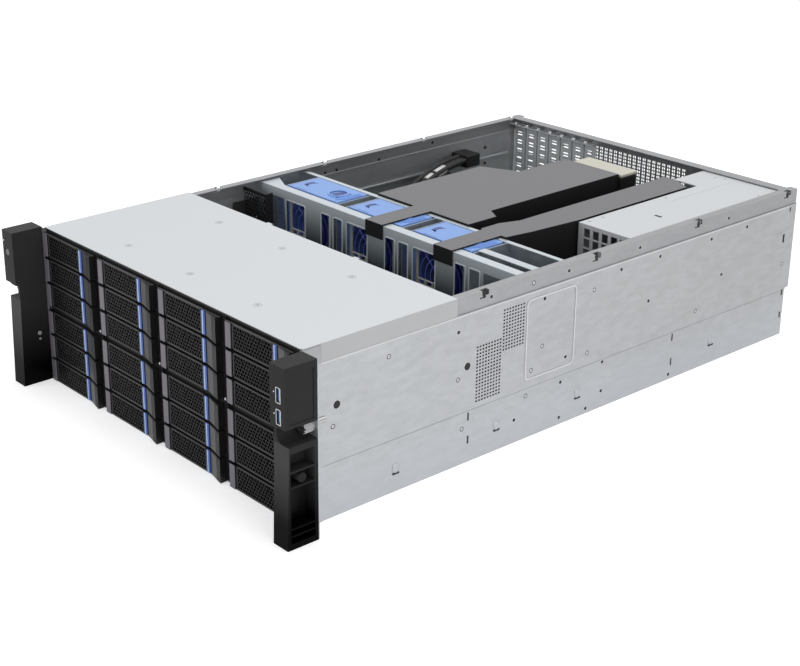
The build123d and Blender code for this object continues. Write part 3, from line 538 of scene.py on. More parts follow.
def make_mesh(shape):
    columns = int((MESH_RIGHT - MESH_LEFT - MESH_PITCH / 2) / MESH_PITCH)
    rows = int((BEZEL_HEIGHT - 1.5 * FRAME_HEIGHT) / MESH_STEP)
    bottom = (BEZEL_HEIGHT - rows * MESH_STEP) / 2 - MESH_STEP * MESH_DROP
    perforated(shape, MESH_LEFT + MESH_MARGIN, bottom, columns, rows, BEZEL_Y - MESH_THICK / 2, MESH_PITCH,
               MESH_HOLE, MESH_THICK)
    for z in (0.0, BEZEL_HEIGHT - FRAME_HEIGHT):
        low = (MESH_LEFT, BEZEL_Y - MESH_THICK, z)
        block(shape, low, (MESH_RIGHT, BEZEL_Y, z + FRAME_HEIGHT), FRAME_EDGE)
    for x in (MESH_LEFT, MESH_RIGHT - FRAME_WIDTH):
        strip(shape, (x, x + FRAME_WIDTH), (MESH_THICK, 0), 0.0, FRAME_EDGE)


def make_grille_shade(shape):
    strip(shape, (MESH_LEFT, MESH_RIGHT), SHADE_REACH, SHADE_MARGIN)


carrier_front("drive_mesh", make_mesh, MESH)
carrier_front("drive_shade", make_grille_shade, GRILLE_SHADE)
print("grille holes each about", int((MESH_RIGHT - MESH_LEFT) / MESH_PITCH * BEZEL_HEIGHT / MESH_STEP))


# %% [markdown]
# A pale bar stands at the left of each carrier, and a blue marker strip shows where the latch opens, with a
# paler strip down its face as a painted highlight. They are simple rounded strips. The latch lever slopes
# forward to its free edge, which is done by sliding the corners of plain strips, and three ribs give the
# finger its grip.

# %% Carrier bars, markers and levers
BAR = grained("carrier bar", (0.16, 0.148, 0.172), 0.42, scale=1500, spread=0.1)
MARKER = grained("marker edge", (0.02, 0.085, 0.42), 0.35, coat=0.4, scale=1500)
# Painted highlight: the pale blue strip on the front of each marker.
MARKER_HIGHLIGHT = grained("marker highlight", (0.50, 0.68, 1.0), 0.3, coat=0.4, scale=1500, spread=0.04)
LEVER = grained("latch lever", (0.035, 0.035, 0.037), 0.4, scale=1500)
BAR_STRIP = dict(span=(0.0003, 0.0089), reach=(0.0019, 0.0008), margin=0.0002, edge=0.0006, segments=2)
MARKER_STRIP = dict(span=(0.0710, 0.0765), reach=(0.0011, 0), margin=0.0004, edge=0.0004)
HIGHLIGHT_STRIP = dict(span=(0.0728, 0.0743), reach=(0.0016, 0.0009), margin=0.0007, edge=0.0003)
LEVER_LEFT, LEVER_RIGHT, LEVER_RISE = 0.0778, 0.0989, 0.0049
LEVER_LOW, LEVER_DROP = 0.0006, 0.0008
LEVER_SHEET, RIB_PROUD = 0.0005, 0.0009
RIB_COUNT, RIB_PITCH, RIB_WIDTH, RIB_INSET = 3, 0.0026, 0.0012, 0.0018


def make_bar(shape):
    strip(shape, **BAR_STRIP)


def make_marker(shape):
    strip(shape, **MARKER_STRIP)


def make_marker_highlight(shape):
    strip(shape, **HIGHLIGHT_STRIP)


def make_lever(shape):
    """A sloped lever plate with upright ribs near its free edge."""
    spans = [(LEVER_LEFT, LEVER_RIGHT, LEVER_SHEET)]
    for k in range(RIB_COUNT):
        rib_right = LEVER_RIGHT - RIB_INSET - RIB_PITCH * k
        spans.append((rib_right - RIB_WIDTH, rib_right, RIB_PROUD))
    for left, right_side, proud in spans:
        top = (right_side, BEZEL_Y, BEZEL_HEIGHT - LEVER_DROP)
        for vert in block(shape, (left, BEZEL_Y - proud, LEVER_LOW), top, FRAME_EDGE):
            share = (vert.co.x - LEVER_LEFT) / (LEVER_RIGHT - LEVER_LEFT)
            bmesh.ops.translate(shape, verts=[vert], vec=(0, -LEVER_RISE * share, 0))


carrier_front("drive_bar", make_bar, BAR)
carrier_front("drive_marker", make_marker, MARKER)
carrier_front("drive_marker_face", make_marker_highlight, MARKER_HIGHLIGHT)
carrier_front("drive_lever", make_lever, LEVER)
print("strips and levers", 4 * COLUMNS * ROWS)


# %% [markdown]
# The top row shows a lighter lip under the lid. The lip belongs to the carriers and moves with them, so one
# piece rides on each top carrier. Small bright rivets close the joint between the two cages.

# %% Top lips and cage rivets
TOP_LIP = grained("carrier top lip", (0.055, 0.053, 0.056), 0.42, scale=1500, spread=0.1)
LIP_REACH, LIP_LOW = 0.0012, 0.1702
LIP_PARTS = ((0.0005, 0.0775, 0.0009, 0.0003), (0.0775, 0.1005, 0.0006, 0.0002))
CAGE_RIVETS = (-0.1125, -0.0036, 0.1054)
CAGE_JOINT_Z = 0.0898
CAGE_RIVET_R, CAGE_RIVET_TIP = 0.0019, 0.0014
CAGE_RIVET_IN, CAGE_RIVET_OUT = deep(2), deep(-1.6)
for column in range(COLUMNS):
    left = -BODY_HALF + COLUMN_PITCH * column
    lip = bmesh.new()
    for start, end, height, edge in LIP_PARTS:
        low = (left + start, BEZEL_Y - LIP_REACH, LIP_LOW)
        block(lip, low, (left + end, BEZEL_Y, LIP_LOW + height), edge)
    piece(f"top_lip_{column + 1}", lip, TOP_LIP, f"drive_{column + 1}_{ROWS}")
cage_rivets = bmesh.new()
for x in CAGE_RIVETS:
    rod(cage_rivets, (x, CAGE_RIVET_IN, CAGE_JOINT_Z), (x, CAGE_RIVET_OUT, CAGE_JOINT_Z), CAGE_RIVET_R, 16,
        CAGE_RIVET_TIP)
piece("cage_rivets", cage_rivets, NICKEL, "chassis")
print("lips", COLUMNS, "rivets", len(CAGE_RIVETS))


# %% [markdown]
# Each side wall is one folded sheet, and a joggle steps its upper strip in for the lid. All that is on it is
# placed by its depth behind the rack flange and its height above the floor, in millimetres. One helper makes
# a disc on either wall, and one a thin slab.

# %% Side wall helpers
STEP_MM = 157.6
JOGGLE = 0.001
DISC_SUNK = 0.0004


def wall_x(z_mm):
    """The outer face of the side wall, which steps in above the joggle."""
    return BODY_HALF - (JOGGLE if z_mm > STEP_MM else 0.0)


def disc(shape, side, y, z, radius, proud, tip=None, sides=16):
    """A disc that stands proud of the side wall. Its radii and its rise are in millimetres."""
    x = wall_x(z)
    start = (side * (x - DISC_SUNK), deep(y), z * MM)
    end = (side * (x + proud * MM), deep(y), z * MM)
    rod(shape, start, end, radius * MM, sides, None if tip is None else tip * MM)


def wall_slab(shape, side, inner, outer, depths, heights):
    """A thin box on the side wall, from its inner to its outer face."""
    ends = sorted((side * inner, side * outer))
    block(shape, (ends[0], deep(depths[0]), heights[0] * MM), (ends[1], deep(depths[1]), heights[1] * MM))


print("wall faces", wall_x(0), "and above the joggle", wall_x(STEP_MM + 1))


# %% [markdown]
# Punching leaves dark holes with a bright rim, and rivets sit almost flush. Real cuts would break the frame's
# solids, and at this size a dark disc a tenth of a millimetre proud reads the same. Each disc below is a
# radius, a rise, the radius at its tip and its number of sides.

# %% Holes and rivets
HOLES = ((189, 141.1), (232.3, 165.9), (340.3, 166.3), (305.8, 145.7), (340.2, 74), (334.5, 47.5),
         (375.2, 5.9), (335, 7.9), (268.6, 25.5), (447.4, 165.9), (480, 149), (418.9, 149), (465.6, 102.7),
         (587.8, 102.8), (397.4, 52.2), (508.4, 6.1), (398.1, 19.2), (593.8, 166.1), (627, 149.1),
         (565.1, 148.8))
BIG_HOLES = ((39.7, 111.8), (201.6, 102.8))
RIVETS = ((35.2, 91.4), (101.6, 140.9), (173.5, 165.7), (189.7, 91.9), (290.3, 165.6), (305.3, 95.4),
          (290.6, 73), (284.1, 47.2), (378.9, 136.6), (373.3, 69.2), (547.4, 70.1), (196.5, 38), (700, 88))
HOLE_RIM, HOLE_DARK = (2.7, 0.12, 2.3), (1.95, 0.16)
BIG_RIM, BIG_DARK = (4.9, 0.2, 4.2, 28), (4.0, 0.24, None, 28)
RIVET_RING, RIVET_HEAD, RIVET_PIN = (2.5, 0.05), (2.2, 0.25, 1.5), (0.6, 0.3, None, 8)


def punch_holes(dark, bright, side):
    for y, z in HOLES:
        disc(bright, side, y, z, *HOLE_RIM)
        disc(dark, side, y, z, *HOLE_DARK)
    for y, z in BIG_HOLES:
        disc(bright, side, y, z, *BIG_RIM)
        disc(dark, side, y, z, *BIG_DARK)


def set_rivets(dark, rivets, side):
    for y, z in RIVETS:
        disc(dark, side, y, z, *RIVET_RING)
        disc(rivets, side, y, z, *RIVET_HEAD)
        disc(dark, side, y, z, *RIVET_PIN)


print("holes", len(HOLES) + len(BIG_HOLES), "rivets", len(RIVETS))


# %% [markdown]
# A lance is a half dome pushed out of the sheet above a slot, and a flattened sphere sunk in the wall gives
# it. The slits and the slots for the lid's hooks are dark marks a tenth of a millimetre proud. A slit is a
# depth, a height above the floor, a width and a length.

# %% Lances and slits
LANCES = ((111.1, 24.5), (244.1, 27.7), (361.5, 27.4), (579.1, 27.1))
LANCE_R, LANCE_SCALE = 0.0047, (0.32, 1, 1.1, 1)
LANCE_SLOT_HALF, LANCE_SLOT_LOW, LANCE_SLOT_TOP, LANCE_SLOT_PROUD = 4, 6.2, 4.6, 0.0007
SLITS = ((203.5, 44.9, 2.0, 8.5), (203.8, 20, 2.0, 8.5), (509.3, 44.9, 2.0, 8.5), (510.2, 16.1, 2.0, 8.5),
         (704.2, 49, 2.4, 7), (704.2, 21.5, 2.4, 7), (696.5, 114.5, 3.2, 10), (704.5, 150, 2.0, 5))
MARK_PROUD, MARK_SUNK = 0.0001, 0.0002
LID_HOOKS = (220, 378, 539, 696)
HOOK_UPRIGHT, HOOK_FOOT = ((1, 4.6), (167.2, 174.4)), ((-3, 4.6), (167.2, 168.4))


def press_lances(dark, domes, side):
    """Half-round lances that stand out of the wall above their slots."""
    for y, z in LANCES:
        place = Matrix.Translation((side * wall_x(z), deep(y), z * MM)) @ Matrix.Diagonal(LANCE_SCALE)
        bmesh.ops.create_uvsphere(domes, u_segments=16, v_segments=10, radius=LANCE_R, matrix=place)
        wall_slab(dark, side, BODY_HALF, BODY_HALF + LANCE_SLOT_PROUD,
                  (y - LANCE_SLOT_HALF, y + LANCE_SLOT_HALF), (z - LANCE_SLOT_LOW, z - LANCE_SLOT_TOP))


def cut_slits(dark, side):
    for y, z, width, length in SLITS:
        wall_slab(dark, side, wall_x(z), wall_x(z) + MARK_PROUD, (y, y + width), (z, z + length))
    for hook in LID_HOOKS:
        for (start, end), heights in (HOOK_UPRIGHT, HOOK_FOOT):
            upper = wall_x(heights[0])
            wall_slab(dark, side, upper - MARK_SUNK, upper + MARK_PROUD, (hook + start, hook + end), heights)


print("lances", len(LANCES), "slits", len(SLITS), "lid hooks", len(LID_HOOKS))


# %% [markdown]
# The real vents are fields of small holes, and the frame has tall slots there. Thin bars across the slots
# give the holes at little cost, and a dark sheet of painted shade closes the view into the case. A vent is a
# depth, its lowest and highest point, its number of slots, their pitch and the number of rows.

# %% Side vents
VENTS = ((213.8, 60.4, 120.5, 9, 3.87, 17), (248.9, 104.7, 149.5, 8, 3.84, 13))
VENT_BAR, VENT_BAR_IN, VENT_BAR_OUT, VENT_BAR_START = 0.85, 0.0009, 0.00003, 0.4
# The dark sheet behind the vents is painted shade.
SHADE_SHEET_IN, SHADE_SHEET_OUT = 0.0034, 0.0029
SHADE_SHEET_BEFORE, SHADE_SHEET_BEYOND = 3, 2


def cross_vents(bars, shade_sheet, side):
    """Thin bars across the vent slots and a dark sheet of painted shade behind them."""
    for y, low, high, count, pitch, rows in VENTS:
        end = y + count * pitch
        for row in range(rows + 1):
            middle = low + row * (high - low) / rows
            wall_slab(bars, side, BODY_HALF - VENT_BAR_IN, BODY_HALF - VENT_BAR_OUT,
                      (y - VENT_BAR_START, end), (middle - VENT_BAR, middle + VENT_BAR))
        wall_slab(shade_sheet, side, BODY_HALF - SHADE_SHEET_IN, BODY_HALF - SHADE_SHEET_OUT,
                  (y - SHADE_SHEET_BEFORE, end + SHADE_SHEET_BEYOND), (low - SHADE_SHEET_BEYOND, high + SHADE_SHEET_BEYOND))


print("vent holes on each wall", sum(count * rows for *_, count, pitch, rows in VENTS))


# %% [markdown]
# The lapped seam and the shadow behind the ear are lines that the folds leave, and the bright line under the
# joggle is a painted highlight. Flat bands a few hundredths of a millimetre proud draw them, the ear's as
# painted shadow, and a raised frame with round corners is the pressed bead that stiffens the wall. The bead's
# bright rim finish paints a highlight along it.

# %% Folds and bead
SEAM = grained("seam shadow", (0.21, 0.21, 0.22), 0.6, scale=800)
SKIN = (BODY_HALF - 0.0001, BODY_HALF + 0.00004)
SEAM_BAND, EAR_SHADOW = ((3, 709), (54.9, 55.4)), ((0.2, 2.6), (1, 157))
JOGGLE_HIGHLIGHT = ((3, 705), (155.6, 156.4))
BEAD = (281, 352, 64, 150)
BEAD_CORNER, BEAD_BAND, BEAD_RISE = 0.006, 0.0013, 0.0007


# The ear's band is painted shadow, the joggle's band a painted highlight.
def draw_folds(dark, bright, seam, side):
    wall_slab(seam, side, *SKIN, *SEAM_BAND)
    wall_slab(dark, side, *SKIN, *EAR_SHADOW)
    wall_slab(bright, side, *SKIN, *JOGGLE_HIGHLIGHT)


def press_bead(bead, side):
    """A pressed bead round a rectangle with round corners."""
    y0, y1, z0, z1 = BEAD
    outwards = Matrix(((0, 0, side, 0), (1, 0, 0, 0), (0, 1, 0, 0), (0, 0, 0, 1)))
    middle = (side * SKIN[0], deep((y0 + y1) / 2), (z0 + z1) / 2 * MM)
    round_frame(bead, Matrix.Translation(middle) @ outwards, (y1 - y0) * MM, (z1 - z0) * MM, BEAD_CORNER,
                BEAD_BAND, BEAD_RISE)


print("bead", BEAD[1] - BEAD[0], "by", BEAD[3] - BEAD[2], "mm")


# %% [markdown]
# Both walls carry the same marks, mirrored. All marks of one finish share a mesh, which keeps the number of
# pieces low and still lets each finish be changed on its own.

# %% Both side walls
for side, label in ((-1, "left"), (1, "right")):
    dark, bright, rivets, bars, domes, seam, bead, shade_sheet = [bmesh.new() for _ in range(8)]
    punch_holes(dark, bright, side)
    set_rivets(dark, rivets, side)
    press_lances(dark, domes, side)
    cut_slits(dark, side)
    cross_vents(bars, shade_sheet, side)
    draw_folds(dark, bright, seam, side)
    press_bead(bead, side)
    for name, shape, finish in (("wall_holes", dark, SHADOW), ("wall_rims_and_highlight", bright, RIM_AND_HIGHLIGHT),
                                ("wall_rivets", rivets, RIM_AND_HIGHLIGHT), ("vent_bars", bars, WALL_ZINC),
                                ("wall_lances", domes, WALL_ZINC), ("wall_seam", seam, SEAM),
                                ("wall_bead", bead, RIM_AND_HIGHLIGHT), ("vent_shade_sheet", shade_sheet, SHADOW)):
        piece(f"{name}_{label}", shape, finish, "chassis", smooth=name == "wall_lances")


# %% [markdown]
# Each fan housing is a lift-out moulding. Its cap carries an oval finger ring, a crescent recess and small
# latch ribs. A flat disc a fraction of a millimetre proud, in a dark blue of painted shade, stands for each
# recess, and the ring is a raised frame whose corners are nearly as round as it is wide. Each ring below is a
# width, a length, a corner radius, a band and a rise, and each oval is two half widths and a height.

# %% Fan caps
# Painted shade: the darker blue in the cap's recesses, groove and slots.
CAP_RECESS_SHADE = grained("cap recess shade", (0.03, 0.055, 0.24), 0.4, scale=1200)
FAN_COUNT = 3
RING_OFFSET, RING_TURN = (0.0205, -0.0005), math.radians(-12)
FINGER_RING = (0.0235, 0.0240, 0.0110, 0.0021, 0.0012)
FINGER_GROOVE = (0.0185, 0.0190, 0.0088, 0.0006, 0.0004)
FINGER_OVAL, CRESCENT = (0.0052, 0.0090, 0.0004), (0.0028, 0.0074, 0.0004)
CRESCENT_OFFSET = -0.0325
CAP_RIBS, CAP_RIB_FIRST, CAP_RIB_PITCH = 3, 0.0345, 0.0026
CAP_RIB_END, CAP_RIB_STEP, CAP_RIB_WIDTH, CAP_RIB_RISE = 0.006, 0.004, 0.0013, 0.0009
FRONT_RIB_WIDTH, FRONT_RIB_RISE = 0.002, 0.0006
SLOT_RISE = 0.0003
for index in range(FAN_COUNT):
    node = f"fan_module_{index + 1}"
    low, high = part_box(node)
    centre_x, mid_y, top = (low.x + high.x) / 2, (low.y + high.y) / 2, high.z
    ring, dark, ribs = [bmesh.new() for _ in range(3)]
    place = Matrix.Translation((centre_x + RING_OFFSET[0], mid_y + RING_OFFSET[1], top))
    place = place @ Matrix.Rotation(RING_TURN, 4, "Z")
    round_frame(ring, place, *FINGER_RING)
    round_frame(dark, place, *FINGER_GROOVE)
    oval(dark, place, *FINGER_OVAL)
    oval(dark, Matrix.Translation((centre_x + CRESCENT_OFFSET, mid_y, top)), *CRESCENT)
    for k in range(CAP_RIBS):
        start = (centre_x + CAP_RIB_FIRST + CAP_RIB_PITCH * k, low.y + CAP_RIB_END + CAP_RIB_STEP * k, top)
        block(ribs, start, (start[0] + CAP_RIB_WIDTH, high.y - CAP_RIB_END, top + CAP_RIB_RISE), 0.0003)
    front = (low.x + 0.001, low.y + 0.0002, top)
    block(ribs, front, (high.x - 0.002, front[1] + FRONT_RIB_WIDTH, top + FRONT_RIB_RISE), 0.0002)
    block(dark, (low.x + 0.012, low.y + 0.0025, top), (low.x + 0.030, low.y + 0.0036, top + SLOT_RISE))
    block(dark, (high.x - 0.014, mid_y - 0.012, top), (high.x - 0.0125, mid_y + 0.010, top + SLOT_RISE))
    for name, shape, finish in (("cap_ring", ring, FAN_BLUE), ("cap_recess_shade", dark, CAP_RECESS_SHADE),
                                ("cap_ribs", ribs, FAN_BLUE)):
        piece(f"{name}_{index + 1}", shape, finish, frame["nodes"][node]["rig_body"])
print("fan caps", FAN_COUNT)


# %% [markdown]
# A wire guard keeps fingers out of each rotor: four rings welded to four spokes. Each ring is a small
# circle spun about the shaft's line, which is how a torus is made when it has to share a mesh with others.

# %% Fan guards
GUARD = grained("fan guard", (0.16, 0.19, 0.72), 0.35, scale=1200)
GUARD_RADII = (0.015, 0.0225, 0.030, 0.037)
GUARD_WIRE, SPOKE_WIRE = 0.0008, 0.0009
GUARD_STAND = 0.0014
SPOKES, SPOKE_IN, SPOKE_OUT = 4, 0.012, 0.0405
RING_STEPS = 40


def guard_ring(shape, centre, radius):
    """A wire ring facing the front, turned from a small round section."""
    start = bmesh.ops.create_circle(shape, cap_ends=False, segments=6, radius=GUARD_WIRE,
                                    matrix=Matrix.Translation(centre + Vector((radius, 0, 0))))["verts"]
    edges = list({e for v in start for e in v.link_edges})
    bmesh.ops.spin(shape, geom=edges + start, cent=centre, axis=(0, 1, 0), angle=math.tau, steps=RING_STEPS,
                   use_duplicate=False)


for index in range(FAN_COUNT):
    node = f"fan_module_{index + 1}"
    low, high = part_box(node)
    guard = bmesh.new()
    for tier in range(2):
        hub_low, hub_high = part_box(f"fan_rotor_{index + 1}_{tier + 1}")
        centre = Vector(((low.x + high.x) / 2, low.y - GUARD_STAND, (hub_low.z + hub_high.z) / 2))
        for radius in GUARD_RADII:
            guard_ring(guard, centre, radius)
        for k in range(SPOKES):
            angle = math.tau * (k + 0.5) / SPOKES
            out = Vector((math.cos(angle), 0, math.sin(angle)))
            rod(guard, centre + out * SPOKE_IN, centre + out * SPOKE_OUT, SPOKE_WIRE, 6)
    piece(f"fan_guard_{index + 1}", guard, GUARD, frame["nodes"][node]["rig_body"], smooth=True)
print("guard rings", FAN_COUNT * 2 * len(GUARD_RADII))


# %% [markdown]
# The windows in the fan wall are punched, and light falls on the cut edges of the sheet. A thin raised frame
# in a bright finish round each upper window paints that highlight. The windows follow the fan housings, so
# their places come from the frame: a wide one before each housing's left half, one across its right edge and
# one beyond it.

# %% Painted highlights round the windows of the fan wall
# Painted highlight: a bright frame round each upper window.
WINDOW_HIGHLIGHT = grained("window edge highlight", (0.80, 0.83, 0.86), 0.4, metallic=0.3, spread=0.04)
WALL_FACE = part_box("fan_wall")[0].y
WINDOW_LOW, WINDOW_HIGH = -0.034, 0.032
WIDE_START, WIDE_END = 0.015, 0.006
NARROW = ((-0.008, 0.007), (0.013, 0.028))
RIM_OUT, RIM_CORNER, RIM_BAND, RIM_PROUD = 0.0018, 0.0026, 0.0012, 0.0004
window_edge_highlights = bmesh.new()
for index in range(FAN_COUNT):
    low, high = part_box(f"fan_module_{index + 1}")
    hub_low, hub_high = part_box(f"fan_rotor_{index + 1}_2")
    centre_x, hub_z = (low.x + high.x) / 2, (hub_low.z + hub_high.z) / 2
    wide = (low.x + WIDE_START, centre_x + WIDE_END)
    for start, end in (wide, *((high.x + a, high.x + b) for a, b in NARROW)):
        place = facing_front((start + end) / 2, WALL_FACE, hub_z + (WINDOW_LOW + WINDOW_HIGH) / 2)
        round_frame(window_edge_highlights, place, end - start + RIM_OUT, WINDOW_HIGH - WINDOW_LOW + RIM_OUT,
                    RIM_CORNER, RIM_BAND, RIM_PROUD)
piece("window_edge_highlights", window_edge_highlights, WINDOW_HIGHLIGHT, "chassis")
print("window edge highlights", (1 + len(NARROW)) * FAN_COUNT)


# %% [markdown]
# Behind each window stands the fan's cream connector frame: two rails, three posts, a plug and a long side
# strip. Plain blocks are enough, as only their front edges show through the window.

# %% Connectors behind the fan windows
CONNECTOR_LEFT, RAIL_LENGTH = 0.0135, 0.036
RAIL_HEIGHTS = (0.1185, 0.1245)
RAIL_FRONT, RAIL_BACK = 0.0085, 0.0068
RAIL_THICK, RAIL_EDGE = 0.0013, 0.0002
POST_FIRST, POST_PITCH, POST_WIDTH, POST_COUNT = 0.002, 0.011, 0.0015, 3
PLUG_SPAN, PLUG_REACH, PLUG_HEIGHTS, PLUG_EDGE = (0.016, 0.035), (0.0075, 0.0055), (0.1035, 0.1165), 0.0006
STRIP_SPAN, STRIP_BACK, STRIP_HEIGHTS = (-0.0005, 0.0012), 0.0055, (0.006, 0.160)
for index in range(FAN_COUNT):
    low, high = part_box(f"fan_module_{index + 1}")
    left, front, rail_back = low.x + CONNECTOR_LEFT, low.y - RAIL_FRONT, low.y - RAIL_BACK
    cream = bmesh.new()
    for z in RAIL_HEIGHTS:
        block(cream, (left, front, z), (left + RAIL_LENGTH, rail_back, z + RAIL_THICK), RAIL_EDGE)
    for k in range(POST_COUNT):
        post = left + POST_FIRST + POST_PITCH * k
        start = (post, front, RAIL_HEIGHTS[0] + RAIL_THICK)
        block(cream, start, (post + POST_WIDTH, rail_back, RAIL_HEIGHTS[1]))
    block(cream, (left + PLUG_SPAN[0], low.y - PLUG_REACH[0], PLUG_HEIGHTS[0]),
          (left + PLUG_SPAN[1], low.y - PLUG_REACH[1], PLUG_HEIGHTS[1]), PLUG_EDGE)
    block(cream, (left + STRIP_SPAN[0], front, STRIP_HEIGHTS[0]),
          (left + STRIP_SPAN[1], low.y - STRIP_BACK, STRIP_HEIGHTS[1]), RAIL_EDGE)
    piece(f"fan_connector_{index + 1}", cream, CREAM, "chassis")
print("connectors", FAN_COUNT)


# %% [markdown]
# The power cage is a folded steel box with flat screws and a hanging slot in its roof. The screws are short
# cones with a dark socket, set where the photograph shows them, in millimetres from the case's middle and
# behind the flange.

# %% Power cage roof
POWER_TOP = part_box("power_cage")[1].z
POWER_SCREWS = ((139.6, 456.7), (139.9, 477.3), (139.7, 582.2), (207.9, 477.2), (208.3, 456.7),
                (207.5, 582.9), (201.3, 666.4), (207.2, 688.6), (127.2, 685.7), (138.1, 689.2))
SCREW_R, SCREW_TIP, SOCKET_R = 0.0021, 0.0016, 0.0010
SCREW_SUNK, SCREW_PROUD, SOCKET_PROUD = 0.0002, 0.0003, 0.00036
HANG_SLOT, HANG_SLOT_RISE = ((0.1705, 0.1795), (524.5, 528)), 0.00008
ROOF_BEAD, ROOF_BEAD_RISE = ((0.1495, 0.1503), (570, 684)), 0.0002
screws, sockets, bead = [bmesh.new() for _ in range(3)]
for x_mm, y_mm in POWER_SCREWS:
    x, y = x_mm * MM, deep(y_mm)
    rod(screws, (x, y, POWER_TOP - SCREW_SUNK), (x, y, POWER_TOP + SCREW_PROUD), SCREW_R, 16, SCREW_TIP)
    rod(sockets, (x, y, POWER_TOP), (x, y, POWER_TOP + SOCKET_PROUD), SOCKET_R, 12)
(left, right_side), (front, rear) = HANG_SLOT
block(sockets, (left, deep(front), POWER_TOP), (right_side, deep(rear), POWER_TOP + HANG_SLOT_RISE))
(left, right_side), (front, rear) = ROOF_BEAD
block(bead, (left, deep(front), POWER_TOP), (right_side, deep(rear), POWER_TOP + ROOF_BEAD_RISE), 0.0001)
piece("power_cage_screws", screws, RIM_AND_HIGHLIGHT, "chassis")
piece("power_cage_marks", sockets, SHADOW, "chassis")
piece("power_cage_bead", bead, ZINC, "chassis")
print("power cage screws", len(POWER_SCREWS))


# %% [markdown]
# A black honeycomb panel guides the air behind the lid at the far left. The function that made the carriers'
# grilles makes it too. A cream cover lies on the black block at the main duct's rear end.

# %% Air panel and riser cover
AIR_PANEL_Y, AIR_PITCH, AIR_HOLE, AIR_THICK = deep(262), 0.0050, 0.0038, 0.0008
AIR_COLUMNS, AIR_ROWS = 8, 15
PANEL_LEFT, PANEL_RIGHT = -0.2155, -0.1745
PANEL_LOW, MESH_LOW, PANEL_TOP, PANEL_END = 0.001, 0.1005, 0.1640, 0.1680
PANEL_POST, PANEL_FLANGE = (0.0015, 0.001), 0.01
RISER_LEFT, RISER_RIGHT, RISER_EDGE = -0.0258, 0.0500, 0.0008
COVER_DEPTHS, COVER_HEIGHTS = (612, 640), (0.1690, 0.1728)
RISER_DEPTHS, RISER_HEIGHTS = (611.1, 638), (0.1480, 0.1688)
panel_front, panel_back = AIR_PANEL_Y - 0.0004, AIR_PANEL_Y + 0.0006
panel, cover, riser = [bmesh.new() for _ in range(3)]
perforated(panel, PANEL_LEFT + MESH_MARGIN, MESH_LOW - MESH_MARGIN, AIR_COLUMNS, AIR_ROWS, AIR_PANEL_Y,
           AIR_PITCH, AIR_HOLE, AIR_THICK)
block(panel, (PANEL_LEFT, panel_front, PANEL_LOW), (PANEL_RIGHT, panel_back, MESH_LOW), 0.0002)
block(panel, (PANEL_LEFT, panel_front, PANEL_TOP), (PANEL_RIGHT, panel_back, PANEL_END), 0.0002)
block(panel, (PANEL_RIGHT - PANEL_POST[0], panel_front, MESH_LOW),
      (PANEL_RIGHT + PANEL_POST[1], AIR_PANEL_Y + PANEL_FLANGE, PANEL_END), 0.0003)
for shape, depths, heights in ((cover, COVER_DEPTHS, COVER_HEIGHTS), (riser, RISER_DEPTHS, RISER_HEIGHTS)):
    block(shape, (RISER_LEFT, deep(depths[0]), heights[0]), (RISER_RIGHT, deep(depths[1]), heights[1]),
          RISER_EDGE)
piece("air_panel", panel, CAGE, "chassis")
piece("riser_cover", cover, CREAM, "chassis")
piece("riser_block", riser, CAGE, "chassis")
print("air panel cells", AIR_COLUMNS * AIR_ROWS)


# %% [markdown]
# The lid has six shallow pressed dimples and a dark hem along its front. A dimple this flat is only seen by
# its shadow, so a hair-thin ring of painted shadow with a dot in it does the work of a dent.

# %% Lid dimples and hem
# Painted shadow: a darker ring and dot for each dimple.
DIMPLE_SHADOW = grained("dimple painted shadow", (0.42, 0.44, 0.46), 0.55, metallic=0.15, scale=1500, spread=0.03)
LID_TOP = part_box("front_cover")[1].z
DIMPLE_COLUMNS, DIMPLE_DEPTHS = (-0.109, 0.0, 0.109), (36, 150)
DIMPLE_WIDTH, DIMPLE_CORNER, DIMPLE_BAND, DIMPLE_RISE = 0.0084, 0.0041, 0.0007, 0.00008
DOT_R, DOT_RISE = 0.0021, 0.00005
HEM_HALF, HEM_LOW, HEM_TOP = 0.2155, 0.1733, 0.1750
HEM_FRONT, HEM_BACK = deep(0.4), deep(0.95)
dimples, hem = bmesh.new(), bmesh.new()
for x in DIMPLE_COLUMNS:
    for y in DIMPLE_DEPTHS:
        place = Matrix.Translation((x, deep(y), LID_TOP))
        round_frame(dimples, place, DIMPLE_WIDTH, DIMPLE_WIDTH, DIMPLE_CORNER, DIMPLE_BAND, DIMPLE_RISE, 24)
        rod(dimples, (x, deep(y), LID_TOP), (x, deep(y), LID_TOP + DOT_RISE), DOT_R, 16)
block(hem, (-HEM_HALF, HEM_FRONT, HEM_LOW), (HEM_HALF, HEM_BACK, HEM_TOP), 0.0002)
piece("lid_dimple_shadows", dimples, DIMPLE_SHADOW, "chassis")
piece("lid_hem", hem, CAGE, "chassis")
print("dimples", len(DIMPLE_COLUMNS) * len(DIMPLE_DEPTHS))


# %% [markdown]
# Behind the drives the open case shows the inside of the left wall, with two pressed ridges, a thin fold
# near the top and a few holes. Rounded bars and dark discs on the inner face give them.

